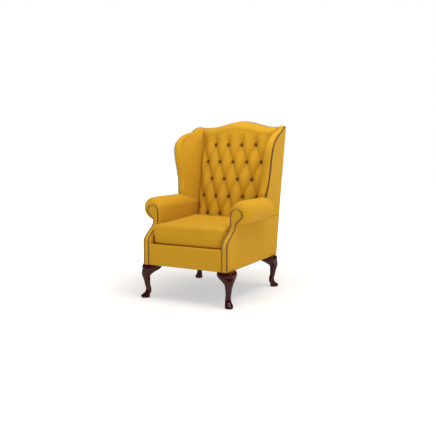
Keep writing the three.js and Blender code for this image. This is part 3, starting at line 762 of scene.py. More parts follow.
@dataclass(frozen=True)
class AgedNailWithPaintedShade:
    """Pewter-coloured nail head in its own colour, darkened round its rim by painted shade."""

    name: str = "aged_nail_head_painted_shade"
    bright: Colour = (0.185, 0.16, 0.185, 1.0)
    # Colour of the painted shade round the rim.
    dark: Colour = (0.014, 0.008, 0.008, 1.0)

    def build(self) -> bpy.types.Material:
        """The material, darkened round the rim by painted shade from the piece's shade attribute.

        Returns:
            The material.
        """
        sheet = NodeSheet(self.name)
        # Painted shade: darkest round the rim, by a spotted amount.
        rim = sheet.add("Attribute", attribute_name="fold").outputs["Fac"]
        spots = sheet.grain(sheet.add("TexCoord").outputs["Object"], (700.0, 700.0, 700.0), 3.0)
        share = sheet.maths("MULTIPLY", rim, sheet.spread(spots, 0.75, 1.5))
        share = sheet.maths("MINIMUM", share, 1.0)
        sheet.join(sheet.mixed(share, self.bright, self.dark), sheet.shader.inputs["Base Color"])
        sheet.join(sheet.spread(spots, 0.26, 0.5), sheet.shader.inputs["Roughness"])
        sheet.shader.inputs["Metallic"].default_value = 1.0
        return sheet.material


def finishes() -> dict[Slot, bpy.types.Material]:
    """Every finish of the chair, by material slot.

    Returns:
        Each slot's material.
    """
    return {
        Slot.FABRIC: WovenCloth().build(),
        Slot.LEG: PolishedWood(
            "polished_mahogany",
            dark=(0.026, 0.0008, 0.0004, 1.0),
            light=(0.052, 0.0030, 0.0016, 1.0),
            roughness=0.2,
            coat=0.95,
            specular=0.01,
        ).build(),
        Slot.TIMBER: PolishedWood(
            "frame_timber",
            dark=(0.36, 0.22, 0.11, 1.0),
            light=(0.55, 0.38, 0.21, 1.0),
            roughness=0.65,
            coat=0.0,
        ).build(),
        Slot.WEBBING: WovenCloth(
            "jute_webbing",
            colour=(0.20, 0.14, 0.075, 1.0),
            deep=(0.06, 0.04, 0.02, 1.0),
            thread=0.0022,
            relief=0.0009,
            sheen=0.0,
        ).build(),
        # Dark lining cloth; on the platform, its darkness also stands in for the shade in the slit round the
        # cushion.
        Slot.LINING: WovenCloth(
            "dark_lining",
            colour=(0.030, 0.028, 0.026, 1.0),
            deep=(0.01, 0.009, 0.008, 1.0),
            thread=0.0009,
            relief=0.0003,
            sheen=0.05,
        ).build(),
        Slot.NAIL: AgedNailWithPaintedShade().build(),
    }


# Making pieces


def vectors(items: bpy.types.bpy_prop_collection, name: str) -> Array:
    """A vector property of every item of a mesh, shape (items, 3)."""
    values = np.empty(len(items) * 3, np.float32)
    items.foreach_get(name, values)
    return values.reshape(-1, 3).astype(float)


def whole_numbers(items: bpy.types.bpy_prop_collection, name: str) -> NDArray[np.int32]:
    """A whole-number property of every item of a mesh."""
    values = np.empty(len(items), np.int32)
    items.foreach_get(name, values)
    return values


def lay_cloth(mesh: bpy.types.Mesh, weave: Array, fold: Array) -> None:
    """Keeps a mesh's cloth directions as its weave map, and its painted shade as a point attribute."""
    mesh.uv_layers.new(name="weave").data.foreach_set("uv", weave.astype(np.float32).ravel())
    mesh.attributes.new("fold", "FLOAT", "POINT").data.foreach_set("value", fold.astype(np.float32))


@dataclass
class Workroom:
    """Makes surfaces into finished pieces that ride on the frame."""

    lines: Lines
    shift: float
    finish: dict[Slot, bpy.types.Material] = field(default_factory=finishes)

    def mesh(self, name: str, surface: Surface, crease: float) -> bpy.types.Mesh:
        """Puts a surface into a mesh in the frame's place.

        Args:
            name: The mesh's name.
            surface: The surface, about the chair's middle plane.
            crease: Edges bent by more than this many degrees stay sharp.

        Returns:
            The mesh, with its weave map and painted shade attribute.
        """
        mesh = bpy.data.meshes.new(name)
        points = surface.points + [0.0, self.shift, 0.0]
        mesh.vertices.add(len(points))
        mesh.vertices.foreach_set("co", points.astype(np.float32).ravel())
        corners = np.concatenate([block.ravel() for block in surface.faces])
        sizes = np.concatenate([np.full(len(block), block.shape[1]) for block in surface.faces])
        mesh.loops.add(len(corners))
        mesh.loops.foreach_set("vertex_index", corners.astype(np.int32))
        mesh.polygons.add(len(sizes))
        starts = np.concatenate([[0], np.cumsum(sizes)[:-1]])
        mesh.polygons.foreach_set("loop_start", starts.astype(np.int32))
        mesh.polygons.foreach_set("use_smooth", np.ones(len(sizes), bool))
        mesh.update(calc_edges=True)
        lay_cloth(mesh, np.concatenate([block.reshape(-1, 2) for block in surface.weave]), surface.fold)
        mesh.set_sharp_from_angle(angle=math.radians(crease))
        return mesh

    def piece(
        self,
        name: str,
        surface: Surface,
        slot: Slot,
        stands_for: tuple[str, ...] = (),
        fill: float | None = None,
        body: str = "frame",
        crease: float = 55.0,
    ) -> bpy.types.Object:
        """Makes one piece of the chair from a surface.

        Args:
            name: The piece's name.
            surface: Its surface.
            slot: Its material slot.
            stands_for: The frame's nodes that it replaces.
            fill: How full it is, if it is a padded piece.
            body: The body it rides on.
            crease: Edges bent by more than this many degrees stay sharp.

        Returns:
            The piece.
        """
        piece = bpy.data.objects.new(name, self.mesh(name, surface, crease))
        bpy.context.scene.collection.objects.link(piece)
        return self.dressed(piece, slot, stands_for, fill, body)

    def sided(
        self,
        side: Side,
        name: str,
        surface: Surface,
        slot: Slot,
        node: str = "",
        fill: float | None = None,
        crease: float = 55.0,
    ) -> bpy.types.Object:
        """Makes one side's piece, mirrored for the left, in place of that side's node.

        Args:
            side: The side.
            name: The piece's name, without the side's.
            surface: Its surface on the right.
            slot: Its material slot.
            node: The node that it replaces, without the side's name.
            fill: How full it is, if it is a padded piece.
            crease: Edges bent by more than this many degrees stay sharp.

        Returns:
            The piece.
        """
        stands_for = (f"{node}_{side.word}",) if node else ()
        return self.piece(f"{name}_{side.word}", surface.on_side(side), slot, stands_for, fill, crease=crease)

    def dressed(
        self,
        piece: bpy.types.Object,
        slot: Slot,
        stands_for: tuple[str, ...],
        fill: float | None,
        body: str,
    ) -> bpy.types.Object:
        """Gives a piece its finish, its body and the nodes that it stands for.

        Args:
            piece: The piece.
            slot: Its material slot.
            stands_for: The frame's nodes that it replaces.
            fill: How full it is, if it is a padded piece. Not used.
            body: The body it rides on.

        Returns:
            The piece.
        """
        piece.data.materials.clear()
        piece.data.materials.append(self.finish[slot])
        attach(piece, body)
        if stands_for:
            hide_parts(*stands_for)
        LOG.info("%s: %d faces, on %s", piece.name, len(piece.data.polygons), body)
        return piece


# Upholstery


@dataclass
class ButtonedBack:
    """The deep-buttoned inside back and its covered buttons."""

    room: Workroom
    columns: int = 196
    rows: int = 300
    side_round: float = 0.016
    tuft: float = 0.028
    crest_round: float = 0.052
    undercut: float = 0.017
    button_radius: float = 0.0095
    button_height: float = 0.006
    button_sink: float = 0.0008
    pleat_skew: float = 1.25
    upper_fullness: float = 0.84
    foot_fullness: float = 0.3
    tucks: int = 10
    tuck_height: float = 0.025
    tuck_reach: float = 0.017
    tuck_width: float = 0.008
    # Painted shade round each button: its radius, and where it fades out near the sides.
    button_shade_radius: float = 0.013
    button_shade_fade: tuple[float, float] = (0.212, 0.226)
    corner_rise: tuple[float, float] = (0.48, 0.56)
    corner_set_back: float = 0.022
    corner_width: float = 0.045
    widened_from: float = 0.2
    side_turn: float = 0.3
    side_turn_ends: tuple[float, float] = (0.9, 0.98)
    rear_points: int = 16

    def pillow(self, x: Array, z: Array) -> tuple[Array, Array]:
        """How far the stuffing stands out between the buttons.

        With row = (top - z) / row pitch and column = x / pitch - 1/2, pleats run where
        a = column + row/2 or b = column - row/2 is whole. Across each diamond, sin(pi t^1.25)
        rises from one pleat and falls to the next, fullest below the middle. The pillow is
        half the root of both rises' product plus half of their length over sqrt(2) to the
        0.9, and fades to an even fullness above the top row.

        Args:
            x: Distance from the middle.
            z: Height.

        Returns:
            The share of the full height, and the painted shade at each point, in the pleats and round each
            button.
        """
        lines = self.room.lines
        row = (lines.top_row_z - z) / lines.row_pitch
        column = x / lines.button_pitch - 0.5
        down = np.clip(row, 0, len(lines.button_rows) - 1)
        first, second = column + down / 2, column - down / 2
        rise = np.sin(np.pi * (first - np.floor(first)) ** self.pleat_skew)
        fall = np.sin(np.pi * (1 - (second - np.floor(second))) ** self.pleat_skew)
        swell = 0.5 * np.sqrt(rise * fall) + 0.5 * (np.hypot(rise, fall) / math.sqrt(2)) ** 0.9
        beyond = ramp(np.abs(row - down), 0.0, 0.8)
        share = lerp(swell, self.upper_fullness, beyond)
        nearest = np.round(down)
        along = column + nearest / 2
        dx = (along - np.round(along)) * lines.button_pitch
        dz = (row - nearest) * lines.row_pitch
        reach, angle = np.hypot(dx, dz), np.arctan2(dz, dx)
        tucks = self.tuck_height * np.cos(self.tucks * angle)
        tucks = tucks * np.exp(-((reach - self.tuck_reach) / self.tuck_width) ** 2)
        # Painted shade: in the pleats' hollows, and in a disc round each button that fades out near the
        # sides.
        fold = np.clip(1.0 - share / 0.5, 0, 1) ** 1.5 * 0.3
        button_shade = np.exp(-((reach / self.button_shade_radius) ** 4)) * (1 - ramp(np.abs(x), *self.button_shade_fade))
        fold = np.maximum(fold * (1 - beyond), button_shade)
        return share + tucks * (1 - beyond), np.clip(fold, 0, 1)

    def surface(self) -> Surface:
        """The pad: its front is the buttons' seat less the pillow, and it rolls over the crest.

        Each ring is the pad's outline in one upright plane, which leans out with the wings at
        the sides: the buttoned front, a quarter ellipse over the crest, then straight down
        the back. At the sides it turns back by a flattened quarter circle to meet the wings.

        Returns:
            The pad.
        """
        lines = self.room.lines
        half = lines.seat_half - lines.gap
        turn = np.linspace(0, np.pi / 2, 9)[1:]
        flat = half - self.side_round
        edge, tuck = flat + self.side_round * np.sin(turn), self.side_round * (1 - np.cos(turn))
        column = np.concatenate([-edge[::-1], np.linspace(-flat, flat, self.columns), edge])[:, None]
        tuck = np.concatenate([tuck[::-1], np.zeros(self.columns), tuck])[:, None]
        foot = lines.deck_top + lines.gap
        top = lines.crest_top_z(column)
        spring = top - self.crest_round
        z = lerp(foot, spring, np.linspace(0, 1, self.rows)[None])
        over = np.linspace(0, np.pi / 2, 22)[None, 1:]
        over_z = spring + self.crest_round * np.sin(over)
        rear_z = lerp(top - self.undercut, foot, np.linspace(0, 1, self.rear_points)[None])
        zs = np.concatenate([z, over_z, rear_z], axis=1)
        widen = np.sign(column) * ramp(np.abs(column), self.widened_from, half)
        xs = column + widen * (lines.room_half(zs) - lines.seat_half)
        x, side = xs[:, : self.rows], lines.room_half(z) - lines.gap
        share, fold = self.pillow(x, z)
        fullness = lerp(self.foot_fullness, 1.0, ramp(z, lines.deck_top, lines.lowest_row_z))
        near_side = ramp(np.abs(x), side - lines.button_pitch / 4, side)
        low_corner = self.corner_set_back * ramp(np.abs(x), side - self.corner_width, side)
        low_corner = low_corner * (1 - ramp(z, *self.corner_rise))
        y = lines.button_seat_y(x, z) - self.tuft * share * fullness * (1 - 0.6 * near_side)
        y = evened(y) + self.side_turn * tuck * (1 - ramp(z, *self.side_turn_ends)) + low_corner
        rear_y = lines.frame_rear_y(top) + lines.bow(xs[:, self.rows : -self.rear_points], top)
        over_y = lerp(rear_y, y[:, -1:], np.cos(over))
        ys = np.concatenate([y, over_y, lines.pad_rear_y(rear_z)], axis=1)
        grid = np.stack([xs, ys, zs], axis=2)
        seen = self.rows + over.size
        grid[:, :seen, 1] += 0.0006 * ripple(grid[:, :seen], 3, 0.09)
        # Painted shade lies on the buttoned front only.
        painted_shade_grid = np.zeros(zs.shape)
        painted_shade_grid[:, : self.rows] = fold
        return loft(grid, seen - 1, painted_shade_grid)

    def build(self) -> None:
        """Makes the pad and one covered button for each node of that name."""
        room, lines = self.room, self.room.lines
        room.piece("back_padding", self.surface(), Slot.FABRIC, ("back_pad",), 0.8)
        cap = dome(self.button_radius, self.button_height, sides=24, rings=7, skirt=0.0015)
        # Painted shade darkens the whole covered button, most at its rim, so that it reads as a dark dimple.
        cap.fold = cap.fold * 0.3 + 0.7
        normal = np.array([[0.0, -1.0, lines.recline]])
        for row, count in enumerate(lines.button_rows):
            z = lines.top_row_z - row * lines.row_pitch
            for column in range(count):
                x = (column - (count - 1) / 2) * lines.button_pitch
                place = np.array([[x, float(lines.button_seat_y(x, z)) - self.button_sink, z]])
                name = f"button_{row + 1}_{column + 1}"
                room.piece("covered_" + name, studs(cap, place, normal), Slot.FABRIC, (name,), 1.0)


NAIL_STEP = 0.0118


def nail_head() -> Surface:
    """One domed nail head."""
    return dome(radius=0.0053, height=0.0028, sides=12, rings=4, skirt=0.0006)


@dataclass(frozen=True)
class OutsideCloth:
    """Cloth drawn over a board: its edge turned in like a seam and darkened there by painted shade, its
    middle gently uneven.
    """

    seed: int
    sink: float = 0.0014
    sink_width: float = 0.005
    unevenness: float = 0.0005
    wavelength: float = 0.14
    calm_width: float = 0.03
    # Strength of the painted shade along the seam.
    seam_fold: float = 0.18
    seam_width: float = 0.003

    def sunk(self, inset: Array) -> Array:
        """How far the cloth sinks at a distance from its edge."""
        return self.sink * (1 - ramp(inset, 0.0, self.sink_width))

    def waves(self, points: Array) -> Array:
        """How far the cloth stands out."""
        return self.unevenness * ripple(points, self.seed, self.wavelength)

    def uneven(self, points: Array, inset: Array) -> Array:
        """How far the cloth stands out where its edge is calm."""
        return self.waves(points) * ramp(inset, 0.0, self.calm_width)

    def painted_shade_grid(self, inset: Array) -> Array:
        """Painted shade at each point, strongest at the seam."""
        return self.seam_fold * (1 - ramp(inset, 0.0, self.seam_width))

    def on_side(self, lines: Lines, y: Array, z: Array, inset: Array) -> Surface:
        """The panel between the outside of the chair's side and its inner face.

        Args:
            lines: The chair's sizes.
            y: Y of each point of the panel's grid.
            z: Z of each point.
            inset: Each point's distance from the panel's edge.

        Returns:
            The panel.
        """
        front = np.stack([lines.outer_x(y, z) - self.sunk(inset), y, z], axis=2)
        front[..., 0] += self.uneven(front, inset)
        back = np.stack([lines.inner_x(y, z) + lines.gap, y, z], axis=2)[:, :: y.shape[1] - 1]
        return slab(front, back, self.painted_shade_grid(inset))


@dataclass
class RolledArm:
    """One arm: the rolled pad, its facing, the outside panel under it and its nails."""

    room: Workroom
    side: Side
    outline_points: int = 260
    scroll_end: float = -0.06 * math.pi
    facing_margin: float = 0.0012
    facing_crown: float = 0.0024
    rise_points: int = 33
    bend_points: int = 84
    bend_end: float = -104.0
    pleats: int = 16
    pleat_height: float = 0.007
    low_round: float = 0.009
    nail_margin: float = 0.0004
    neck_inset: float = 0.0015
    neck_lift: float = 0.001
    neck_draw: float = 0.004
    edge_lap: float = 0.001
    round_grows: tuple[float, float] = (0.40, 0.53)
    tail_splits: tuple[float, float] = (-91.0, -85.0)
    front_sink: float = 0.055
    corner_softness: float = 0.014
    seam_nail_spread: float = 1.9
    seam_nail_drop: float = 0.0045
    nail_sink: float = 0.0012
    outside: OutsideCloth = OutsideCloth(seed=7)

    def outline(self) -> Array:
        """Line of the facing's nails, in x and z: up the inner row, round the scroll, down the outer row.

        Returns:
            Its points, shape (outline_points, 2).
        """
        lines = self.room.lines
        turn = np.linspace(np.pi, self.scroll_end, 60)
        scroll = np.stack([
            lines.scroll_x + lines.scroll_radius * np.cos(turn),
            lines.scroll_z + lines.scroll_radius * np.sin(turn),
        ], axis=1)
        outer, foot, neck = lines.panel_x, lines.rail_foot + lines.nail_strip / 2, lines.sweep_end
        path = np.vstack([
            [[outer - lines.row_spacing, foot]],
            scroll,
            [[outer + 0.003, neck + 0.013], [outer, neck - 0.002], [outer, foot]],
        ])
        return softened(path, self.outline_points, self.corner_softness)

    def facing(self) -> Surface:
        """The facing: cloth between the nail rows, crowned by (4 c (1 - c))^0.6 at its width's share c.

        Its rim stands just outside the nails. The rim's inner and outer sides both rise to the
        top of the scroll, and each row of the cloth joins them at one height.

        Returns:
            The facing.
        """
        lines = self.room.lines
        path = self.outline()
        along = np.gradient(path, axis=0)
        along /= np.linalg.norm(along, axis=1, keepdims=True)
        margin = lines.nail_strip / 2 + self.facing_margin
        rim = path + np.stack([-along[:, 1], along[:, 0]], axis=1) * margin
        top = int(rim[:, 1].argmax())
        turn = np.linspace(0, 0.49 * np.pi, 30)[1:]
        z = np.concatenate([
            np.linspace(lines.rail_foot, lines.scroll_z, 110),
            lerp(lines.scroll_z, rim[top, 1], np.sin(turn)),
        ])[:, None]
        halves = (rim[: top + 1], rim[: top - 1 : -1])
        near, far = (np.interp(z, np.maximum.accumulate(half[:, 1]), half[:, 0]) for half in halves)
        across = np.linspace(0, 1, 15)[None]
        x = lerp(near, far, across)
        crown = self.facing_crown * (4 * across * (1 - across)) ** 0.6 * np.minimum(1.0, (far - near) / 0.03)
        y = np.broadcast_to(lines.facing_y(z), x.shape)
        z = np.broadcast_to(z, x.shape)
        back = np.stack([x, y + lines.facing_thickness, z], axis=2)[:, ::7]
        return slab(np.stack([x, y - crown, z], axis=2), back)

    def section(self) -> tuple[Array, Array, Array, Array]:
        """The roll's full section: up the arm's inner face, over the roll and under it.

        Returns:
            The heights of the corners on the inner face, the angle of each later corner about
            the roll's middle, and the X and Z of all the corners.
        """
        lines = self.room.lines
        foot = lines.deck_top + lines.gap
        upright = np.linspace(foot, lines.roll_z, self.rise_points + 1)[:-1]
        angle = np.radians(np.linspace(180, self.bend_end, self.bend_points))
        bent_x = lines.roll_x + lines.roll_radius * np.cos(angle)
        x = np.concatenate([np.full(self.rise_points, lines.seat_half), bent_x])
        z = np.concatenate([upright, lines.roll_z + lines.roll_radius * np.sin(angle)])
        return upright, angle, x, z

    def facing_ring(self, upright: Array, angle: Array) -> tuple[Array, Array]:
        """The ring that meets the facing: its outline, drawn in to the neck under the scroll.

        Args:
            upright: Heights of the corners on the inner face.
            angle: Angle of each later corner about the roll's middle.

        Returns:
            The corners' X and Z.
        """
        lines = self.room.lines
        reach = lines.scroll_radius + lines.nail_strip / 2 + self.nail_margin
        low = lines.sweep_end
        shrunk = low + (upright - low) * (lines.scroll_z - low) / (lines.roll_z - low)
        under = np.clip((self.scroll_end - angle) / (self.scroll_end - angle[-1]), 0, 1)
        turned = np.maximum(angle, self.scroll_end)
        neck_x = lines.panel_x + lines.nail_strip / 2 - self.neck_inset
        edge_x = lines.panel_x - lines.row_spacing - lines.nail_strip / 2 + self.edge_lap
        x = np.concatenate([
            lerp(edge_x, lines.scroll_x - reach, ramp(upright, low, lines.roll_z)),
            lerp(lines.scroll_x + reach * np.cos(turned), neck_x, under)
            - self.neck_draw * np.sin(np.pi * under),
        ])
        z = np.concatenate([
            np.where(upright > low, shrunk, upright),
            lerp(lines.scroll_z + reach * np.sin(turned), low + self.neck_lift, under),
        ])
        return x, z

    def front_rings(self, upright: Array, angle: Array, x: Array, z: Array) -> Array:
        """Rings from the facing's outline out to the full section, by a quarter ellipse.

        Small pleats, 1 + h sin^2(pi s) cos(n a), gather the cloth round the scroll.

        Args:
            upright: Heights of the corners on the inner face.
            angle: Angle of each later corner about the roll's middle.
            x: X of the full section's corners.
            z: Z of the full section's corners.

        Returns:
            The rings' points, shape (rings, corners, 3).
        """
        lines, rise = self.room.lines, self.rise_points
        front_x, front_z = self.facing_ring(upright, angle)
        soft = lerp(self.low_round, lines.scroll_round, ramp(z, *self.round_grows))
        soft[rise:] = lines.scroll_round
        start = lines.sweep_y(np.concatenate([upright, np.full(len(angle), lines.sweep_end)]))
        turn = np.linspace(np.pi / 2, 0, 16)[:, None]
        share = 1 - np.cos(turn)
        pleats = np.ones((len(turn), len(x)))
        pleats[:, rise:] += self.pleat_height * np.sin(np.pi * share) ** 2 * np.cos(self.pleats * angle)
        return np.stack([
            lines.scroll_x + (lerp(x, front_x, share) - lines.scroll_x) * pleats,
            start + soft * (1 - np.sin(turn)),
            lines.scroll_z + (lerp(z, front_z, share) - lines.scroll_z) * pleats,
        ], axis=2)

    def rear_rings(self, way: Array, x: Array, z: Array) -> Array:
        """Rings behind the wing's front.

        The outer half ends in a quarter of an ellipsoid, R cos(t) wide, and the inner half
        runs on to the buttoned back.

        Args:
            way: Angle of each corner about the roll's middle, pi on the inner face.
            x: X of the full section's corners.
            z: Z of the full section's corners.

        Returns:
            The rings' points, shape (rings, corners, 3).
        """
        lines = self.room.lines
        tail = np.linspace(0, 1, 18)[1:, None]
        outer = ramp(-way, *(math.radians(turn) for turn in self.tail_splits))
        inward = outer * (1 - np.cos(tail * np.pi / 2))
        inner_y = lerp(lines.roll_tail, lines.pad_rear_y(z) - lines.gap, tail)
        outer_y = lines.roll_tail + lines.roll_tail_length * np.sin(tail * np.pi / 2)
        return np.stack([
            lerp(x, lines.roll_x, inward),
            lerp(inner_y, outer_y, outer),
            lerp(z, lines.roll_z, inward),
        ], axis=2)

    def roll(self) -> Surface:
        """The rolled pad: from the deck up the arm's inner face, over the roll and under it.

        Corner j of each ring moves along the section; ring i moves from the facing to the
        back. The first ring is sunk behind the facing, and the last corners close the pad
        inside the arm.

        Returns:
            The pad.
        """
        lines, rise = self.room.lines, self.rise_points
        upright, angle, x, z = self.section()
        way = np.concatenate([np.full(rise, np.pi), angle])
        front = self.front_rings(upright, angle, x, z)
        body = np.linspace(0, 1, 44)[1:, None]
        middle_y = lerp(front[-1, :, 1], np.full_like(x, lines.roll_tail), body)
        middle = np.stack(np.broadcast_arrays(x, middle_y, z), axis=2)
        sunk = front[:1] + [0.0, self.front_sink, 0.0]
        seen = np.concatenate([sunk, front, middle, self.rear_rings(way, x, z)])
        lift = 0.0007 * ripple(seen, 5, 0.11)
        seen[..., 0] += lift * np.cos(way)
        seen[:, rise:, 2] += lift[:, rise:] * np.sin(angle)
        levels = np.linspace(lines.arm_seam + 0.005, upright[0], 6)
        hidden = seen[:, np.searchsorted(upright, levels).clip(0, rise - 1)].copy()
        hidden[..., 0] = lines.panel_x - lines.row_spacing - 0.0005
        hidden[..., 2] = levels
        return loft(np.concatenate([seen, hidden], axis=1), seen.shape[1] - 1)

    def outside_panel(self) -> Surface:
        """The outside panel, from the arm's swept front to the back, under the seam.

        Returns:
            The panel.
        """
        lines = self.room.lines
        z = np.linspace(lines.rail_foot, lines.arm_seam - lines.gap, 54)[:, None]
        y = lerp(lines.sweep_y(z), lines.frame_rear_y(z), np.linspace(0, 1, 90)[None])
        z = np.broadcast_to(z, y.shape)
        edges = (y - lines.sweep_y(z), lines.rear_y(z) - y, z - z.min(), z.max() - z)
        return self.outside.on_side(lines, y, z, np.minimum.reduce(edges))

    def nails(self) -> Surface:
        """Nail heads at equal steps along the facing's outline, set square to its cloth.

        Returns:
            The nails.
        """
        lines = self.room.lines
        x, z = self.outline().T
        path = np.stack([x, lines.facing_y(z), z], axis=1)
        places = resampled(path, int(path_length(path) / NAIL_STEP))
        z = places[:, 2]
        slope = (lines.sweep_y(z + 0.002) - lines.sweep_y(z - 0.002)) / 0.004
        return studs(nail_head(), places, np.stack([np.zeros_like(z), -np.ones_like(z), slope], axis=1))

    def seam_nails(self) -> Surface:
        """Nail heads along the seam under the roll.

        Returns:
            The nails.
        """
        lines = self.room.lines
        step = NAIL_STEP * self.seam_nail_spread
        y = np.arange(lines.sweep_y(lines.sweep_end) + 0.05, lines.roll_tail - 0.01, step)
        z = np.full_like(y, lines.arm_seam - self.seam_nail_drop)
        places = np.stack([lines.outer_x(y, z) - self.nail_sink, y, z], axis=1)
        return studs(nail_head(), places, np.tile([1.0, 0.0, 0.0], (len(y), 1)))

    def build(self) -> None:
        """Makes the arm's pieces on its side."""
        room, side = self.room, self.side
        room.sided(side, "rolled_arm", self.roll(), Slot.FABRIC, "arm_pad", 0.85)
        room.sided(side, "facing", self.facing(), Slot.FABRIC, "arm_facing", 1.0)
        room.sided(side, "outside_arm_cloth", self.outside_panel(), Slot.FABRIC, "outside_arm", 1.0)
        room.sided(side, "facing_nails", self.nails(), Slot.NAIL, "arm_nails")
        room.sided(side, "seam_nails", self.seam_nails(), Slot.NAIL)


@dataclass
class Wing:
    """One wing: its padded inside and front border, and its outside panel."""

    room: Workroom
    side: Side
    edge: WingEdge
    thickness: float = 0.058
    bulge: float = 0.022
    top_bulge: float = 0.007
    crown: float = 0.006
    end_thinning: float = 0.3
    bulge_fades: tuple[float, float] = (0.66, 0.9)
    overhang: float = 0.004
    set_into_roll: float = 0.012
    lifted_height: float = 0.14
    outside: OutsideCloth = OutsideCloth(seed=13)

    def pad(self) -> Surface:
        """The wing's padding.

        Each ring stands at one share s of the wing's edge: half an ellipse over the front
        border, then the inside face, crowned by a sine, to the corner with the back. The
        lowest rings are lifted onto the rolled arm's circle.

        Returns:
            The padding.
        """
        lines, edge = self.room.lines, self.edge
        foot = (lines.roll_z + lines.gap - lines.wing_foot) / (lines.wing_height - lines.board_setback / 4)
        s = np.linspace(foot, 1, 110)[:, None]
        edge_y, edge_z = edge.place(s, 0.0)
        rear_y, rear_z = edge.place(s, 1.0)
        share = np.clip((edge_z - lines.wing_foot) / lines.wing_height, 0, 1)
        thick = self.thickness * (1 - self.end_thinning * (2 * share - 1) ** 2) - lines.panel
        outer = lines.inner_x(edge_y, edge_z)
        inner = np.maximum(outer - thick, lines.room_half(edge_z) + lines.gap)
        crest_foot = lines.crest_z - lines.crest_setback
        clear = ramp(rear_z, crest_foot - 0.01, crest_foot + 0.005)
        corner_y = lerp(np.minimum(lines.pad_rear_y(rear_z), rear_y), rear_y, clear)
        bulge = lerp(self.bulge, self.top_bulge, ramp(s, *self.bulge_fades))
        turn = np.linspace(0, np.pi, 30)[None]
        border_y, border_z = edge.place(s, 0.0, bulge * np.sin(turn) ** 0.8)
        border_x = lerp(outer, inner, (1 - np.cos(turn)) / 2)
        back = np.linspace(0, 1, 40)[None, 1:]
        face_y, face_z = lerp(edge_y, corner_y, back), lerp(edge_z, rear_z, back)
        face_x = lerp(inner, lines.room_half(rear_z) + lines.gap, back)
        face_x = face_x - self.crown * np.sin(np.pi * back) ** 1.5 * ramp(1 - s, 0.0, 0.15)
        face_x = np.maximum(face_x, lines.room_half(face_z) - self.overhang)
        behind = np.linspace(1, 0, 8)[None]
        hidden_y, hidden_z = edge.place(s, behind)
        hidden_x = lines.inner_x(hidden_y, hidden_z)
        grid = np.stack([
            np.concatenate([border_x, face_x, hidden_x[:, :-1]], axis=1),
            np.concatenate([border_y, face_y, hidden_y[:, :-1]], axis=1),
            np.concatenate([border_z, face_z, hidden_z[:, :-1]], axis=1),
        ], axis=2)
        seen = turn.size + back.size
        grid[:, 1:seen, 0] -= 0.0006 * ripple(grid[:, 1:seen], 11, 0.1)
        offset = np.clip(np.abs(grid[..., 0] - lines.roll_x), 0, lines.roll_radius)
        on_roll = lines.roll_z + np.sqrt(lines.roll_radius**2 - offset**2) - self.set_into_roll
        low, high = grid[:1, :, 2], lines.roll_z + self.lifted_height
        lifted = np.clip((grid[..., 2] - low) / (high - low), 0, 1)
        grid[..., 2] = np.where(lifted < 1, lerp(on_roll, high, lifted), grid[..., 2])
        return loft(grid, seen - 1)

    def outside_panel(self) -> Surface:
        """The outside panel: the wing's side view on the flared side.

        Returns:
            The panel.
        """
        lines = self.room.lines
        s, t = np.linspace(0, 1, 120)[:, None], np.linspace(0, 1, 50)[None]
        y, z = self.edge.place(s, t)
        front_y, front_z = self.edge.place(s, 0.0)
        from_edge = np.hypot(y - front_y, z - front_z)
        edges = (from_edge, lines.rear_y(z) - y, z - lines.wing_foot)
        return self.outside.on_side(lines, y, z, np.minimum.reduce(edges))

    def build(self) -> None:
        """Makes the wing's pieces on its side."""
        room, side = self.room, self.side
        room.sided(side, "wing_padding", self.pad(), Slot.FABRIC, "wing_pad", 0.85)
        room.sided(side, "outside_wing_cloth", self.outside_panel(), Slot.FABRIC, "outside_wing", 1.0)


@dataclass
class CrestAndBack:
    """The outside back and the run of nails over both wings and the crest."""

    room: Workroom
    edge: WingEdge
    outside: OutsideCloth = OutsideCloth(seed=17, sink=0.0022, sink_width=0.006, wavelength=0.16)
    sunk_start: float = 0.001

    def outside_panel(self) -> Surface:
        """The outside back: a raked, bowed panel that widens with the sides, under the crest line.

        Returns:
            The panel.
        """
        lines = self.room.lines
        rear = lines.wing_front + lines.wing_depth
        reach = np.linspace(-1, 1, 121)[None]
        top = lines.crest_top_z(reach * lines.outer_x(rear, lines.crest_z))
        z = lerp(lines.rail_foot, top, np.linspace(0, 1, 110)[:, None])
        half = lines.outer_x(rear, np.minimum(z, lines.crest_z))
        x = reach * half
        inset = np.minimum(np.minimum(half - np.abs(x), z - lines.rail_foot), top - z)
        plane = lines.rear_y(z) + lines.bow(x, z)
        front = np.stack([x, plane - self.outside.sunk(inset), z], axis=2)
        front[..., 1] += self.outside.uneven(front, inset)
        back = np.stack([x, plane - lines.panel, z], axis=2)[:, ::4]
        return slab(front, back, self.outside.painted_shade_grid(inset))

    def nails(self) -> Surface:
        """Nail heads at equal steps from one arm, round its wing, over the crest to the other.

        Returns:
            The nails.
        """
        lines = self.room.lines
        middle = lines.panel / 2
        foot = (lines.roll_z + lines.roll_radius - lines.wing_foot - self.sunk_start) / self.edge.length
        s = np.linspace(foot, 1, 400)
        y, z = self.edge.place(s, 0.0)
        up_y, up_z = self.edge.place(s, 0.0, 1.0)
        wing = np.stack([lines.outer_x(y, z) - middle, y, z], axis=1)
        wing_out = np.stack([np.zeros_like(y), up_y - y, up_z - z], axis=1)
        reach = float(lines.outer_x(lines.wing_front + lines.wing_depth, lines.crest_z)) - middle
        x = np.linspace(reach, -reach, 400)
        top = lines.crest_top_z(x)
        crest = np.stack([x, lines.rear_y(top) + lines.bow(x, top) - middle, top], axis=1)
        slope = np.gradient(top, x)
        crest_out = np.stack([-slope, np.zeros_like(x), np.ones_like(x)], axis=1)
        turned = [-1, 1, 1]
        path = np.vstack([wing, crest, wing[::-1] * turned])
        out = np.vstack([wing_out, crest_out, wing_out[::-1] * turned])
        count = int(path_length(path) / NAIL_STEP)
        return studs(nail_head(), resampled(path, count), resampled(path, count, out))

    def build(self) -> None:
        """Makes the outside back and the nails."""
        self.room.piece("outside_back_cloth", self.outside_panel(), Slot.FABRIC, ("outside_back",), 1.0)
        self.room.piece("wing_and_crest_nails", self.nails(), Slot.NAIL, ("wing_nails",))


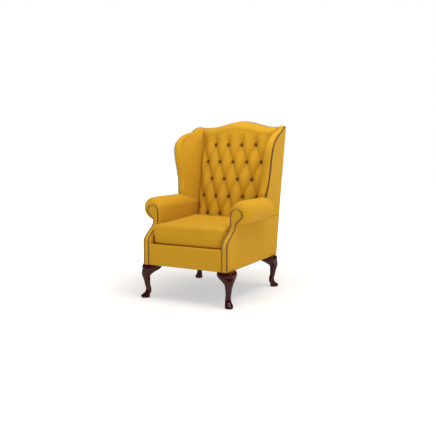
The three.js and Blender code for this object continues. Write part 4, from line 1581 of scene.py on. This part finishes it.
@dataclass
class Seat:
    """The loose cushion, the platform under it, and the front border."""

    room: Workroom
    cushion_height: float = 0.115
    cushion_crown: float = 0.005
    cushion_front: float = 0.322
    edge_round: float = 0.015
    foot_round: float = 0.008
    rear_rise: float = 0.016
    rear_foot: float = 0.148
    rear_lean: float = 0.22
    swell_cap: float = 0.004
    ring_points: int = 480
    corner_power: int = 36
    closed_share: float = 0.94
    side_clearance: float = 0.001
    side_draw: float = 0.002
    corner_nip: float = 0.009
    nip_height: float = 0.03
    voxel: float = 0.006
    pressure: float = 4.0
    swell_frames: int = 20
    seam_height: float = 0.66
    seam_width: float = 0.12
    seam_sink: float = 0.0012
    # Strength of the painted shade along the cushion's seams.
    seam_fold: float = 0.12
    lip: float = 0.006
    lip_depth: float = 0.035
    border_points: int = 40
    border_cloth: OutsideCloth = OutsideCloth(
        seed=19,
        sink=0.002,
        sink_width=0.007,
        unevenness=0.0004,
        wavelength=0.12,
        seam_fold=0.3,
        seam_width=0.004,
    )
    platform_round: float = 0.006

    def cushion(self) -> Surface:
        """The cushion before it is stuffed: a boxed form with rounded corners and edges.

        Ring i is a superellipse of power corner_power at one height. Its sides pull in between
        the corners by cos^2(2a), and its lowest corners are nipped in. Under and above the box
        the rings shrink in, flat below and crowned on top, and the cushion rises towards the back.

        Returns:
            The cushion's form.
        """
        lines = self.room.lines
        low = lines.deck_top + lines.gap
        high = low + self.cushion_height
        points = self.ring_points
        turn = np.linspace(0, 2 * np.pi, points, endpoint=False) + np.pi / points
        half = lines.seat_half - self.side_clearance
        front = -self.cushion_front + self.side_clearance
        rise = np.linspace(0, np.pi / 2, 7)
        edge = self.edge_round
        inset = np.concatenate([self.foot_round * (1 - np.sin(rise)), edge * (1 - np.cos(rise))])
        heights = low + self.foot_round * (1 - np.cos(rise))
        heights = np.concatenate([heights, high - edge + edge * np.sin(rise)])
        shares = np.linspace(0, self.closed_share, 9)[1:]
        inset = np.concatenate([inset, edge + (half - edge) * shares])
        heights = np.concatenate([heights, high + self.cushion_crown * np.sin(shares * np.pi / 2)])
        under = np.linspace(self.closed_share, 0, 9)[:-1]
        inset = np.concatenate([edge + (half - edge) * under, inset])
        heights = np.concatenate([np.full(8, low), heights])
        cos, sin = np.cos(turn), np.sin(turn)
        power = self.corner_power
        corner = (np.abs(cos) ** power + np.abs(sin) ** power) ** (-1 / power)
        nip = self.corner_nip * np.clip(1 - (heights - low) / self.nip_height, 0, 1)[:, None] ** 2
        pull = self.side_draw * np.cos(2 * turn) ** 2 + nip * np.sin(2 * turn) ** 16
        z = np.broadcast_to(heights[:, None], (len(heights), len(turn)))
        x = (half - inset[:, None] - pull) * corner * cos
        rear = self.rear_limit(x, z) - self.swell_cap
        y = ((rear - front) / 2 - inset[:, None] - pull) * corner * sin + (rear + front) / 2
        z = z + self.rear_rise * (z - low) / self.cushion_height * ramp(y, front, rear.max())
        return loft(np.stack([x, y, z], axis=2), points // 2 - 1)

    def rear_limit(self, x: Array, z: Array) -> Array:
        """Where the cushion's back must end: a leaning plane plus x^2 / 2R, clear of the pad's tufts."""
        lines = self.room.lines
        return self.rear_foot + self.rear_lean * (z - lines.deck_top) + x**2 / (2 * lines.back_curve)

    def stuffed(self, rough: bpy.types.Object) -> bpy.types.Mesh:
        """Stuffs the cushion by a short cloth simulation under inner pressure.

        The form is remeshed at 6 mm, swells for 20 frames with no gravity, and no point may
        move further than the cap. It is then kept inside the well between the arms.

        Args:
            rough: The unstuffed cushion.

        Returns:
            Its stuffed mesh, subdivided once.
        """
        remesh = rough.modifiers.new("even", "REMESH")
        remesh.mode, remesh.voxel_size = "VOXEL", self.voxel
        shell = bpy.data.objects.new("stuffing", applied(rough))
        bpy.context.scene.collection.objects.link(shell)
        start = vectors(shell.data.vertices, "co")
        placed = start.copy()
        cloth = shell.modifiers.new("swell", "CLOTH")
        cloth.settings.use_pressure = True
        cloth.settings.uniform_pressure_force = self.pressure
        cloth.settings.effector_weights.gravity = 0.0
        cloth.settings.quality = 4
        cloth.point_cache.frame_start, cloth.point_cache.frame_end = 1, self.swell_frames
        for step in range(1, self.swell_frames + 1):
            bpy.context.scene.frame_set(step)
        move = vectors(applied(shell).vertices, "co") - start
        shell.modifiers.clear()
        bpy.context.scene.frame_set(1)
        length = np.linalg.norm(move, axis=1, keepdims=True)
        placed += move * np.minimum(1.0, self.swell_cap / np.maximum(length, 1e-9))
        lines = self.room.lines
        side = lines.seat_half - self.side_clearance
        placed[:, 0] = np.clip(placed[:, 0], -side, side)
        limit = self.rear_limit(placed[:, 0], placed[:, 2]) + self.room.shift
        placed[:, 1] = np.minimum(placed[:, 1], limit)
        placed[:, 2] = np.maximum(placed[:, 2], lines.deck_top + lines.gap)
        shell.data.vertices.foreach_set("co", placed.astype(np.float32).ravel())
        even = shell.modifiers.new("smooth", "SMOOTH")
        even.iterations = 5
        fine = shell.modifiers.new("fine", "SUBSURF")
        fine.levels = fine.render_levels = 1
        mesh = applied(shell)
        bpy.data.objects.remove(shell)
        return mesh

    def seamed(self, mesh: bpy.types.Mesh) -> None:
        """Draws in the seams round the cushion's top and bottom, and maps its weave.

        A seam lies where the surface turns from side to top, at a normal whose height is
        about seam_height; there it sinks by a bell curve and takes painted shade. The weave
        is laid flat on each side.

        Args:
            mesh: The stuffed cushion, changed in place.
        """
        points, normals = vectors(mesh.vertices, "co"), vectors(mesh.vertex_normals, "vector")
        bell = np.exp(-(((np.abs(normals[:, 2]) - self.seam_height) / self.seam_width) ** 2))
        points -= normals * (self.seam_sink * bell)[:, None]
        mesh.vertices.foreach_set("co", points.astype(np.float32).ravel())
        sizes = whole_numbers(mesh.polygons, "loop_total")
        way = np.repeat(np.abs(vectors(mesh.polygon_normals, "vector")).argmax(1), sizes)
        spot = points[whole_numbers(mesh.loops, "vertex_index")]
        u = np.where(way == 0, spot[:, 1], spot[:, 0])
        v = np.where(way == 2, spot[:, 1], spot[:, 2])
        lay_cloth(mesh, np.stack([u, v], axis=1), self.seam_fold * bell)
        mesh.polygons.foreach_set("use_smooth", np.ones(len(mesh.polygons), bool))
        mesh.update()

    def border(self) -> Surface:
        """The front border: a panel with a sunk edge, whose cloth turns back over the platform's front.

        Each ring is the border's outline in the plane of one x: up the front, a quarter
        circle over the lip, then down the back.

        Returns:
            The border.
        """
        lines = self.room.lines
        half = lines.panel_x - lines.row_spacing - lines.nail_strip / 2 - lines.gap
        front = -lines.facing_front - lines.border_proud
        top, lip, rows = lines.deck_top - lines.gap, self.lip, self.border_points
        x = np.linspace(-half, half, 120)[:, None]
        z = np.linspace(lines.rail_foot, top - lip, rows)
        turn = np.linspace(0, np.pi / 2, 8)[1:]
        zs = np.concatenate([z, top - lip + lip * np.sin(turn), [top, lines.rail_foot]])
        rear = front + lines.border_thickness + self.lip_depth
        ys = np.concatenate([np.full(rows, front), front + lip * (1 - np.cos(turn)), [rear, rear]])
        grid = np.stack(np.broadcast_arrays(x, ys[None], zs[None]), axis=2).copy()
        inset = np.minimum(half - np.abs(x), (z - lines.rail_foot)[None])
        grid[:, :rows, 1] += self.border_cloth.sunk(inset) + self.border_cloth.waves(grid[:, :rows])
        # Painted shade along the border's sunk edge.
        fold = np.zeros(grid.shape[:2])
        fold[:, :rows] = self.border_cloth.painted_shade_grid(inset)
        return loft(grid, rows + len(turn) - 1, fold)

    def platform(self) -> Surface:
        """The platform: a flat pad with rounded edges, behind the border's cloth lip."""
        low, high = (np.array(corner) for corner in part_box("seat_deck"))
        low[1], high[1] = low[1] - self.room.shift + self.lip_depth, high[1] - self.room.shift
        return rounded_pad(low, high, self.platform_round)

    def build(self) -> None:
        """Makes the seat's pieces; only the cushion rides on its own body."""
        room = self.room
        rough = bpy.data.objects.new("seat_cushion_form", room.mesh("seat_cushion_form", self.cushion(), 180))
        bpy.context.scene.collection.objects.link(rough)
        mesh = self.stuffed(rough)
        bpy.data.objects.remove(rough)
        self.seamed(mesh)
        cushion = bpy.data.objects.new("loose_seat_cushion", mesh)
        bpy.context.scene.collection.objects.link(cushion)
        room.dressed(cushion, Slot.FABRIC, ("seat_cushion",), 0.85, "seat_cushion")
        room.piece("front_border_cloth", self.border(), Slot.FABRIC, ("front_border",), 1.0)
        room.piece("platform", self.platform(), Slot.LINING, ("seat_deck",), 1.0)


def applied(thing: bpy.types.Object) -> bpy.types.Mesh:
    """A new mesh of an object as its modifiers leave it."""
    bpy.context.view_layer.update()
    graph = bpy.context.evaluated_depsgraph_get()
    return bpy.data.meshes.new_from_object(thing.evaluated_get(graph))


def rounded_pad(low: Array, high: Array, bend: float) -> Surface:
    """A flat pad between two corners, its outline and edges rounded by quarter circles.

    Ring i is a rounded rectangle at one height, drawn in by bend (1 - cos) near the faces.

    Args:
        low: Lowest corner.
        high: Highest corner.
        bend: Radius of the edges.

    Returns:
        The pad.
    """
    rise = np.linspace(0, np.pi / 2, 5)
    inset = np.concatenate([bend * (1 - np.sin(rise)), bend * (1 - np.cos(rise))])
    z = np.concatenate([low[2] + bend * (1 - np.cos(rise)), high[2] - bend + bend * np.sin(rise)])
    corner = np.linspace(0, np.pi / 2, 6)
    turn = np.concatenate([corner + k * np.pi / 2 for k in range(4)])
    centre = (low + high) / 2
    half = (high - low) / 2 - bend
    cos, sin = np.cos(turn), np.sin(turn)
    across = np.repeat([1, -1, -1, 1], 6) * half[0] + (bend - inset[:, None]) * cos
    deep = np.repeat([1, 1, -1, -1], 6) * half[1] + (bend - inset[:, None]) * sin
    grid = np.stack([across + centre[0], deep + centre[1], np.broadcast_to(z[:, None], across.shape)], axis=2)
    return loft(grid, 11)


@dataclass
class Underside:
    """The straps, and the lining cloth tacked under the frame, its corners cut out for the legs."""

    room: Workroom
    lining_area: float = 0.3313

    def straps(self, node: str, upright: bool) -> Surface:
        """Makes straps or lining cloth in a node's own thin form.

        The node's loose triangles are joined where their points meet.

        Args:
            node: The frame's node.
            upright: Whether the cloth stands upright, so that its weave runs in x and z.

        Returns:
            The cloth.
        """
        mesh = frame["nodes"][node].data
        points = vectors(mesh.vertices, "co") - [0.0, self.room.shift, 0.0]
        rounded, index = np.unique(np.round(points, 6), axis=0, return_inverse=True)
        faces = index.ravel()[whole_numbers(mesh.loops, "vertex_index")].reshape(-1, 3)
        flat = rounded[:, [0, 2 if upright else 1]]
        return Surface(rounded, [faces], [flat[faces]], np.zeros(len(rounded))).outward()

    def build(self) -> None:
        """Makes the straps and the lining."""
        room = self.room
        room.piece("seat_straps", self.straps("seat_webbing", False), Slot.WEBBING, ("seat_webbing",))
        room.piece("back_straps", self.straps("back_webbing", True), Slot.WEBBING, ("back_webbing",))
        lining = room.piece("lining_cloth", self.straps("dust_cover", False), Slot.LINING, ("dust_cover",))


# Legs


LEG_SECTIONS = (
    (0.0, -0.03, 0.47, 2.0), (0.03, -0.05, 0.53, 2.0), (0.08, -0.04, 0.51, 2.0),
    (0.15, 0.14, 0.42, 2.0), (0.25, 0.21, 0.36, 2.0), (0.39, 0.11, 0.36, 2.0),
    (0.54, 0.06, 0.44, 2.0), (0.67, 0.02, 0.57, 2.2), (0.755, 0.2, 0.8, 2.6),
    (0.865, 0.52, 1.1, 3.0), (0.93, 0.55, 1.09, 4.0), (1.0, 0.6, 1.0, 5.0),
)


@dataclass
class CabrioleLeg:
    """A cabriole leg: square knee, slim ankle and pad foot."""

    room: Workroom
    name: str
    side: Side
    end: int
    foot_x: float = 0.280
    foot_y: float = 0.3185
    knee_half: float = 0.046
    toe_reach: float = 0.22
    stations: int = 84
    sides: int = 48

    def surface(self) -> Surface:
        """The leg: superelliptical sections whose size, lean and squareness follow smooth curves.

        At height z the section is r = h / (|cos|^p + |sin|^p)^(1/p) about a centre set in
        towards the middle of the chair. LEG_SECTIONS gives, at each share of the height, the
        set-in and the half width h as shares of knee_half, and the power p. The foot's toe
        reaches further out along the diagonal.

        Returns:
            The leg.
        """
        table = np.array(LEG_SECTIONS)
        share = np.linspace(0, 1, self.stations)
        inset, half, power = (eased(table[:, 0], table[:, k], share)[:, None] for k in (1, 2, 3))
        turn = (np.arange(self.sides) + 0.5) / self.sides * 2 * np.pi
        cos, sin = np.cos(turn)[None], np.sin(turn)[None]
        reach = half * self.knee_half / (np.abs(cos) ** power + np.abs(sin) ** power) ** (1 / power)
        ahead = np.maximum(0.0, (cos + self.end * sin) / math.sqrt(2))
        reach = reach * (1 + self.toe_reach * ahead**3 * (1 - ramp(share, 0.04, 0.14))[:, None])
        x = self.foot_x - inset * self.knee_half + reach * cos
        y = self.end * (self.foot_y - inset * self.knee_half) + reach * sin
        z = np.broadcast_to((share * self.room.lines.leg_height)[:, None], x.shape)
        return loft(np.stack([x, y, z], axis=2), self.sides // 2 - 1)

    def build(self) -> None:
        """Makes the leg in place of its node."""
        self.room.sided(self.side, "carved_" + self.name, self.surface(), Slot.LEG, self.name, crease=40.0)


# Studio


@dataclass(frozen=True)
class Lamp:
    """A square soft lamp that faces the chair."""

    name: str
    place: tuple[float, float, float]
    watts: float
    size: float

    def hang(self) -> None:
        """Hangs the lamp in its place."""
        data = bpy.data.lights.new(self.name, "AREA")
        data.energy, data.size = self.watts, self.size
        lamp = bpy.data.objects.new(self.name, data)
        lamp.location = self.place
        aim = Vector((0.0, 0.0, 0.5)) - Vector(self.place)
        lamp.rotation_euler = aim.to_track_quat("-Z", "Y").to_euler()
        bpy.context.scene.collection.objects.link(lamp)


@dataclass
class Studio:
    """Pale floor, soft light, and the camera of the photograph."""

    shift: float
    azimuth: float = 28.211
    elevation: float = 6.579
    place: tuple[float, float, float] = (1.8342, -3.3443, 0.9046)
    focal_pixels: float = 617.9
    frame_pixels: float = 436.0
    sky: float = 0.555
    mirrored_sky: float = 0.05
    floor_colour: Colour = (0.535, 0.497, 0.475, 1.0)
    floor_half: float = 14.0
    glow: tuple[float, float] = (0.48, 1.1)
    glow_reach: tuple[float, float] = (0.5, 1.9)
    dimmed_in_polish: float = 0.92
    lamps: tuple[Lamp, ...] = (
        Lamp("key", (0.75, -0.35, 3.2), 79.0, 2.2),
        Lamp("side", (3.6, 0.4, 1.6), 9.5, 2.0),
    )

    def camera(self) -> None:
        """Sets the camera: a pinhole at its place, looking along its azimuth and elevation."""
        a, e = math.radians(self.azimuth), math.radians(self.elevation)
        back = Vector((math.sin(a) * math.cos(e), -math.cos(a) * math.cos(e), math.sin(e)))
        data = bpy.data.cameras.new("camera")
        data.sensor_width = 36.0
        data.lens = self.focal_pixels / self.frame_pixels * data.sensor_width
        camera = bpy.data.objects.new("camera", data)
        camera.location = Vector(self.place) + Vector((0.0, self.shift, 0.0))
        camera.rotation_euler = (-back).to_track_quat("-Z", "Y").to_euler()
        bpy.context.scene.collection.objects.link(camera)
        bpy.context.scene.camera = camera

    def floor(self) -> None:
        """Lays the floor: pale matt card with a painted glow, at about half strength under the chair so that
        its shadow stays pale, and white further out, so that it meets the white behind.
        """
        corners = np.array([[-1, -1, 0], [1, -1, 0], [1, 1, 0], [-1, 1, 0]]) * self.floor_half
        mesh = bpy.data.meshes.new("floor")
        mesh.from_pydata(corners.tolist(), [], [(0, 1, 2, 3)])
        sheet = NodeSheet("pale_card")
        sheet.shader.inputs["Base Color"].default_value = self.floor_colour
        sheet.shader.inputs["Roughness"].default_value = 0.9
        sheet.shader.inputs["Specular IOR Level"].default_value = 0.1
        distance = sheet.add("VectorMath", operation="LENGTH")
        sheet.join(sheet.add("TexCoord").outputs["Object"], distance.inputs[0])
        rise = sheet.add("MapRange", interpolation_type="SMOOTHSTEP", Value=distance.outputs["Value"])
        rise.inputs["From Min"].default_value, rise.inputs["From Max"].default_value = self.glow_reach
        sheet.shader.inputs["Emission Color"].default_value = (1.0, 1.0, 1.0, 1.0)
        polish = sheet.add("LightPath").outputs["Is Glossy Ray"]
        seen = sheet.spread(polish, 1.0, 1.0 - self.dimmed_in_polish)
        strength = sheet.maths("MULTIPLY", sheet.spread(rise.outputs[0], *self.glow), seen)
        sheet.join(strength, sheet.shader.inputs["Emission Strength"])
        mesh.materials.append(sheet.material)
        floor = bpy.data.objects.new("floor", mesh)
        bpy.context.scene.collection.objects.link(floor)

    def sky_light(self) -> None:
        """Surrounds the chair with even light: dim in polished surfaces, a white background to the camera."""
        world = bpy.data.worlds.new("studio")
        world.use_nodes = True
        tree = world.node_tree
        tree.nodes.clear()
        path = tree.nodes.new("ShaderNodeLightPath")
        light = None
        for ray, strength in (("", self.sky), ("Is Glossy Ray", self.mirrored_sky), ("Is Camera Ray", 1.0)):
            sky = tree.nodes.new("ShaderNodeBackground")
            sky.inputs["Color"].default_value = (1.0, 1.0, 1.0, 1.0)
            sky.inputs["Strength"].default_value = strength
            if ray:
                mix = tree.nodes.new("ShaderNodeMixShader")
                tree.links.new(path.outputs[ray], mix.inputs[0])
                tree.links.new(light, mix.inputs[1])
                tree.links.new(sky.outputs[0], mix.inputs[2])
                light = mix.outputs[0]
            else:
                light = sky.outputs[0]
        output = tree.nodes.new("ShaderNodeOutputWorld")
        tree.links.new(light, output.inputs["Surface"])
        bpy.context.scene.world = world

    def build(self) -> None:
        """Sets up the studio."""
        self.camera()
        self.floor()
        self.sky_light()
        for lamp in self.lamps:
            lamp.hang()
        bpy.context.scene.view_settings.view_transform = "Standard"


def main() -> None:
    """Builds the studio and the chair, part by part."""
    logging.basicConfig(level=logging.INFO, format="%(name)s: %(message)s")
    lines = Lines()
    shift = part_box("front_border")[0].y + lines.facing_front + lines.border_proud
    Studio(shift).build()
    room = Workroom(lines, shift)
    edge = WingEdge(lines)
    for name, node in frame["nodes"].items():
        slot = next(part["material_slot"] for part in frame["record"]["subparts"] if part["node"] == name)
        node.data.materials.clear()
        node.data.materials.append(room.finish[Slot(slot)])
    ButtonedBack(room).build()
    for side in Side:
        RolledArm(room, side).build()
        Wing(room, side, edge).build()
        CabrioleLeg(room, "leg_front", side, -1).build()
        CabrioleLeg(room, "leg_rear", side, 1).build()
    CrestAndBack(room, edge).build()
    Seat(room).build()
    Underside(room).build()


if __name__ == "__main__":
    main()
